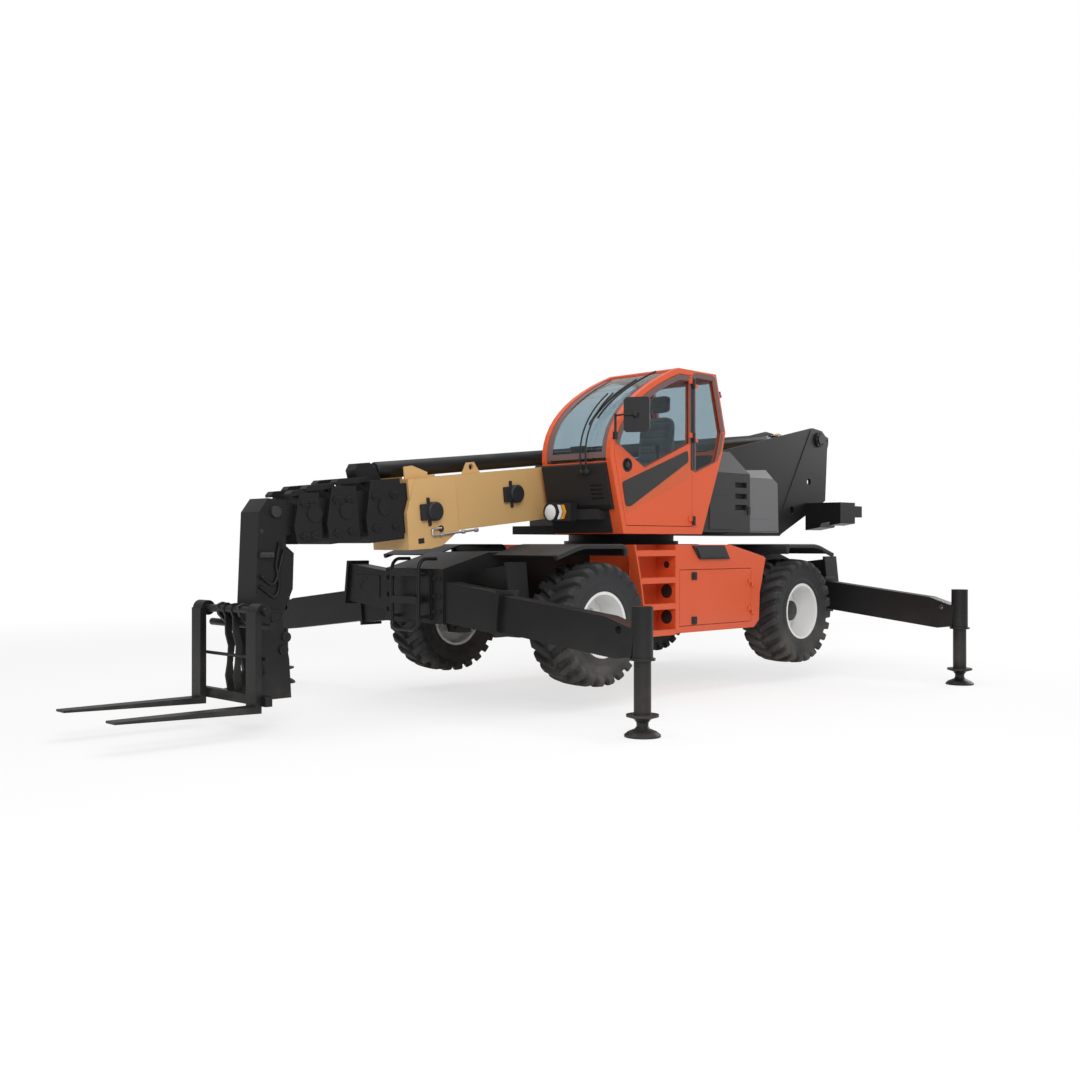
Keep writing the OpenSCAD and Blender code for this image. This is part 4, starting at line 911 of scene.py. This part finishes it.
def collar_trim():
    """Pointed wear-pad plates with two bolts each, two by two on both sides of each section's collar."""
    arrow = [(-0.045, -0.03), (0.02, -0.03), (0.05, 0.0), (0.02, 0.03), (-0.045, 0.03)]
    for number, (front, length) in SECTIONS.items():
        y = BASE_HALF - SECTION_STEP * (number - 1) + COLLAR
        spots = [(front - 0.1, AXIS_W - 0.15), (front - length + 0.08, AXIS_W - 0.15),
                 (front - 0.12, AXIS_W + 0.13), (front - length + 0.08, AXIS_W + 0.13)]
        plates = [boom_side(arrow, u, y, w, 0.012) for u, w in spots]
        heads = bolts([on_boom(u + d, y + 0.012, w) for u, w in spots for d in (-0.022, 0.018)], Y, 0.009)
        body = f"boom_stage_{number}"
        piece(f"wear_plates_{number}", plates + mirrored(plates), FINISH["black_paint"], body)
        piece(f"wear_bolts_{number}", heads + mirrored(heads), FINISH["black_paint"], body)


def boom_caps():
    """Round caps on both sides of the base section, each over a block and an upright bar."""
    grids = []
    for u, y, w in ((5.299, BASE_HALF, -0.287), (6.353, 0.264, -0.369)):
        cap = [(0, 0), (0, 0.088), (0.05, 0.088), (0.062, 0.076), (0.062, 0)]
        grids += [lathe(cap, on_boom(u, y, w), Y, 48), boom_side(oblong(0.0, 0.15, -0.075, 0.075), u, y, w, 0.034),
                  boom_side(oblong(0.035, 0.065, -0.13, 0.13, 0.008), u, y, w, 0.016)]
    caps = piece("boom_caps", grids + mirrored(grids), FINISH["black_plastic"], "boom")
    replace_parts(caps, "boom_discs")


def boom_fittings():
    """Ears on the base section and black plates of painted shade for its openings, the end sleeve of the extension
    cylinder, and a hairpin pipe.
    """
    ear = boom_side([(0, 0), (0.27, 0), (0.27, 0.115), (0.17, 0.12), (0, 0.05)], 6.32, 0.18, BASE_TOP, 0.014)
    piece("boom_ears", [ear, *mirrored([ear])], FINISH["gold_paint"], "boom")
    middle = on_boom(6.49, 0, BASE_TOP + EXTENSION_R + 0.023)
    sleeve = [(0, 0.05), (0, EXTENSION_R), (0.28, EXTENSION_R), (0.29, 0.07), (0.29, 0.05)]
    piece("extension_sleeve", [lathe(sleeve, middle, U, 40)], FINISH["black_paint"], "boom_stage_2")
    # The slot and the hole are black plates of painted shade, not cut openings.
    slot = boom_side(oblong(-0.035, 0.035, -0.024, 0.024, 0.006), 6.513, 0.2635, -0.624, 0.003, 0.001)
    hole = disc(on_boom(6.27, 0.2635, -0.536), Y, 0.032, 0.003, 0.001)
    piece("boom_openings", [slot, hole], FINISH["black_plastic"], "boom")
    hairpin = bent([on_boom(6.28, PIPE_Y, -0.53), on_boom(6.39, PIPE_Y, -0.53), on_boom(6.39, PIPE_Y, -0.59),
                    on_boom(5.84, PIPE_Y, -0.585)], 0.028)
    nut = [(0, 0), (0, 0.019), (0.035, 0.019), (0.035, 0)]
    nuts = [lathe(nut, on_boom(u, PIPE_Y, -0.588), U, 6) for u in (5.84, 6.0, 6.26)]
    piece("boom_pipe", [tube(hairpin, PIPE_R, 12), *nuts], ZINC, "boom")


HEAD_LEFT = 0.14


def head_trim():
    """Bent pipes with end nuts on the head's left side, a short cylinder and a cap above them, and a few bolts."""
    bends = [[(4.606, 1.244), (4.505, 1.183), (4.458, 1.248), (4.468, 1.351), (4.438, 1.514)],
             [(4.606, 1.156), (4.488, 1.079), (4.441, 1.159), (4.446, 1.277), (4.400, 1.454)]]
    nut = [(-0.016, 0), (-0.016, 0.017), (0.016, 0.017), (0.016, 0)]
    grids = []
    for bend in bends:
        path = smooth([spot(x, HEAD_LEFT + 0.014, z) for x, z in bend])
        grids += [tube(path, PIPE_R, 10), lathe(nut, path[0], path[1] - path[0], 6),
                  lathe(nut, path[-1], path[-1] - path[-2], 6)]
    piece("head_pipes", grids, FINISH["black_paint"], "boom_stage_5", 60)
    cap = lathe([(0, 0), (0, 0.05), (0.03, 0.046), (0.036, 0)], spot(4.472, HEAD_LEFT, 1.782), Y, 32)
    barrel = lathe([(0, 0), (0, 0.024), (0.12, 0.024), (0.12, 0)], spot(4.506, HEAD_LEFT + 0.024, 1.425), X, 24)
    heads = bolts([spot(x, HEAD_LEFT, z) for x, z in ((4.6, 1.15), (4.6, 1.62))], Y, 0.012)
    piece("head_fittings", [cap, barrel, *heads], FINISH["grey_plastic"], "boom_stage_5")


collar_trim()
boom_caps()
boom_fittings()
head_trim()


# Stage

def studio():
    """A pale floor, white surroundings and three soft lamps."""
    scene = bpy.context.scene
    scene.view_settings.view_transform = "Standard"
    world = bpy.data.worlds.new("studio")
    scene.world = world
    world.use_nodes = True
    tree = world.node_tree
    seen = seen_rays(tree)
    put(tree, tree.nodes["Background"].inputs["Color"], (1, 1, 1, 1))
    put(tree, tree.nodes["Background"].inputs["Strength"], sum_of(tree, "MULTIPLY_ADD", seen, 0.55, 0.45))
    half = 60.0
    square = np.array([[(-half, -half, 0), (half, -half, 0)], [(-half, half, 0), (half, half, 0)]])
    mesh = bpy.data.meshes.new("floor")
    mesh.from_pydata(square.reshape(-1, 3).tolist(), [], [(0, 1, 3, 2)])
    floor = bpy.data.objects.new("floor", mesh)
    scene.collection.objects.link(floor)
    mesh.materials.append(pale_floor())
    lamps = (("key", (9, 11, 9), 7, 1000), ("top", (0, 0, 13), 12, 800), ("back", (-13, 2, 6), 6, 450))
    for name, place, size, watts in lamps:
        lamp = bpy.data.lights.new(name, "AREA")
        lamp.energy = watts
        lamp.size = size
        holder = bpy.data.objects.new(name, lamp)
        scene.collection.objects.link(holder)
        holder.location = place
        aim = np.array(place) - spot(0.8, 0, 1.3)
        tip = math.atan2(math.hypot(*aim[:2]), aim[2])
        holder.rotation_euler = (tip, 0, math.atan2(aim[1], aim[0]) + math.pi / 2)


def seen_rays(tree):
    """1 for rays that show the surroundings themselves: seen straight or through glass."""
    path = add(tree, "ShaderNodeLightPath").outputs
    return sum_of(tree, "MAXIMUM", path["Is Camera Ray"], path["Is Transmission Ray"])


def pale_floor():
    """A white floor that keeps a soft shadow near the object and fades to plain white further out."""
    material = bpy.data.materials.new("pale_floor")
    material.use_nodes = True
    tree = material.node_tree
    shader = tree.nodes["Principled BSDF"]
    shader.inputs["Base Color"].default_value = (0.9, 0.9, 0.9, 1)
    shader.inputs["Roughness"].default_value = 0.9
    shader.inputs["Specular IOR Level"].default_value = 0.0
    where = add(tree, "ShaderNodeTexCoord").outputs["Object"]
    distance = add(tree, "ShaderNodeVectorMath", {"operation": "LENGTH"})
    tree.links.new(where, distance.inputs[0])
    far = ramp(tree, distance.outputs["Value"], 5.0, 16.0)
    share = sum_of(tree, "MULTIPLY_ADD", far, 0.3, 0.7)
    glow = add(tree, "ShaderNodeEmission", Color=(1, 1, 1, 1), Strength=1.0)
    shown = add(tree, "ShaderNodeMixShader")
    put(tree, shown.inputs[0], sum_of(tree, "MULTIPLY", share, seen_rays(tree)))
    tree.links.new(shader.outputs[0], shown.inputs[1])
    tree.links.new(glow.outputs[0], shown.inputs[2])
    tree.links.new(shown.outputs[0], tree.nodes["Material Output"].inputs["Surface"])
    return material


CAMERA_PLACE, CAMERA_TILT, CAMERA_TURN = (9.8712, 8.7042, 1.5159), 0.003366, 3.931805
SENSOR_MM, LENS_MM = 36.0, 39.856


def photo_camera():
    """The camera: place and aim from the slewing axis, and a lens that gives the photograph's field of view."""
    lens = bpy.data.cameras.new("camera")
    lens.sensor_width = SENSOR_MM
    lens.lens = LENS_MM
    camera = bpy.data.objects.new("camera", lens)
    bpy.context.scene.collection.objects.link(camera)
    camera.location = spot(*CAMERA_PLACE)
    camera.rotation_euler = (math.pi / 2 + CAMERA_TILT, 0, CAMERA_TURN - math.pi / 2)
    bpy.context.scene.camera = camera


studio()
photo_camera()
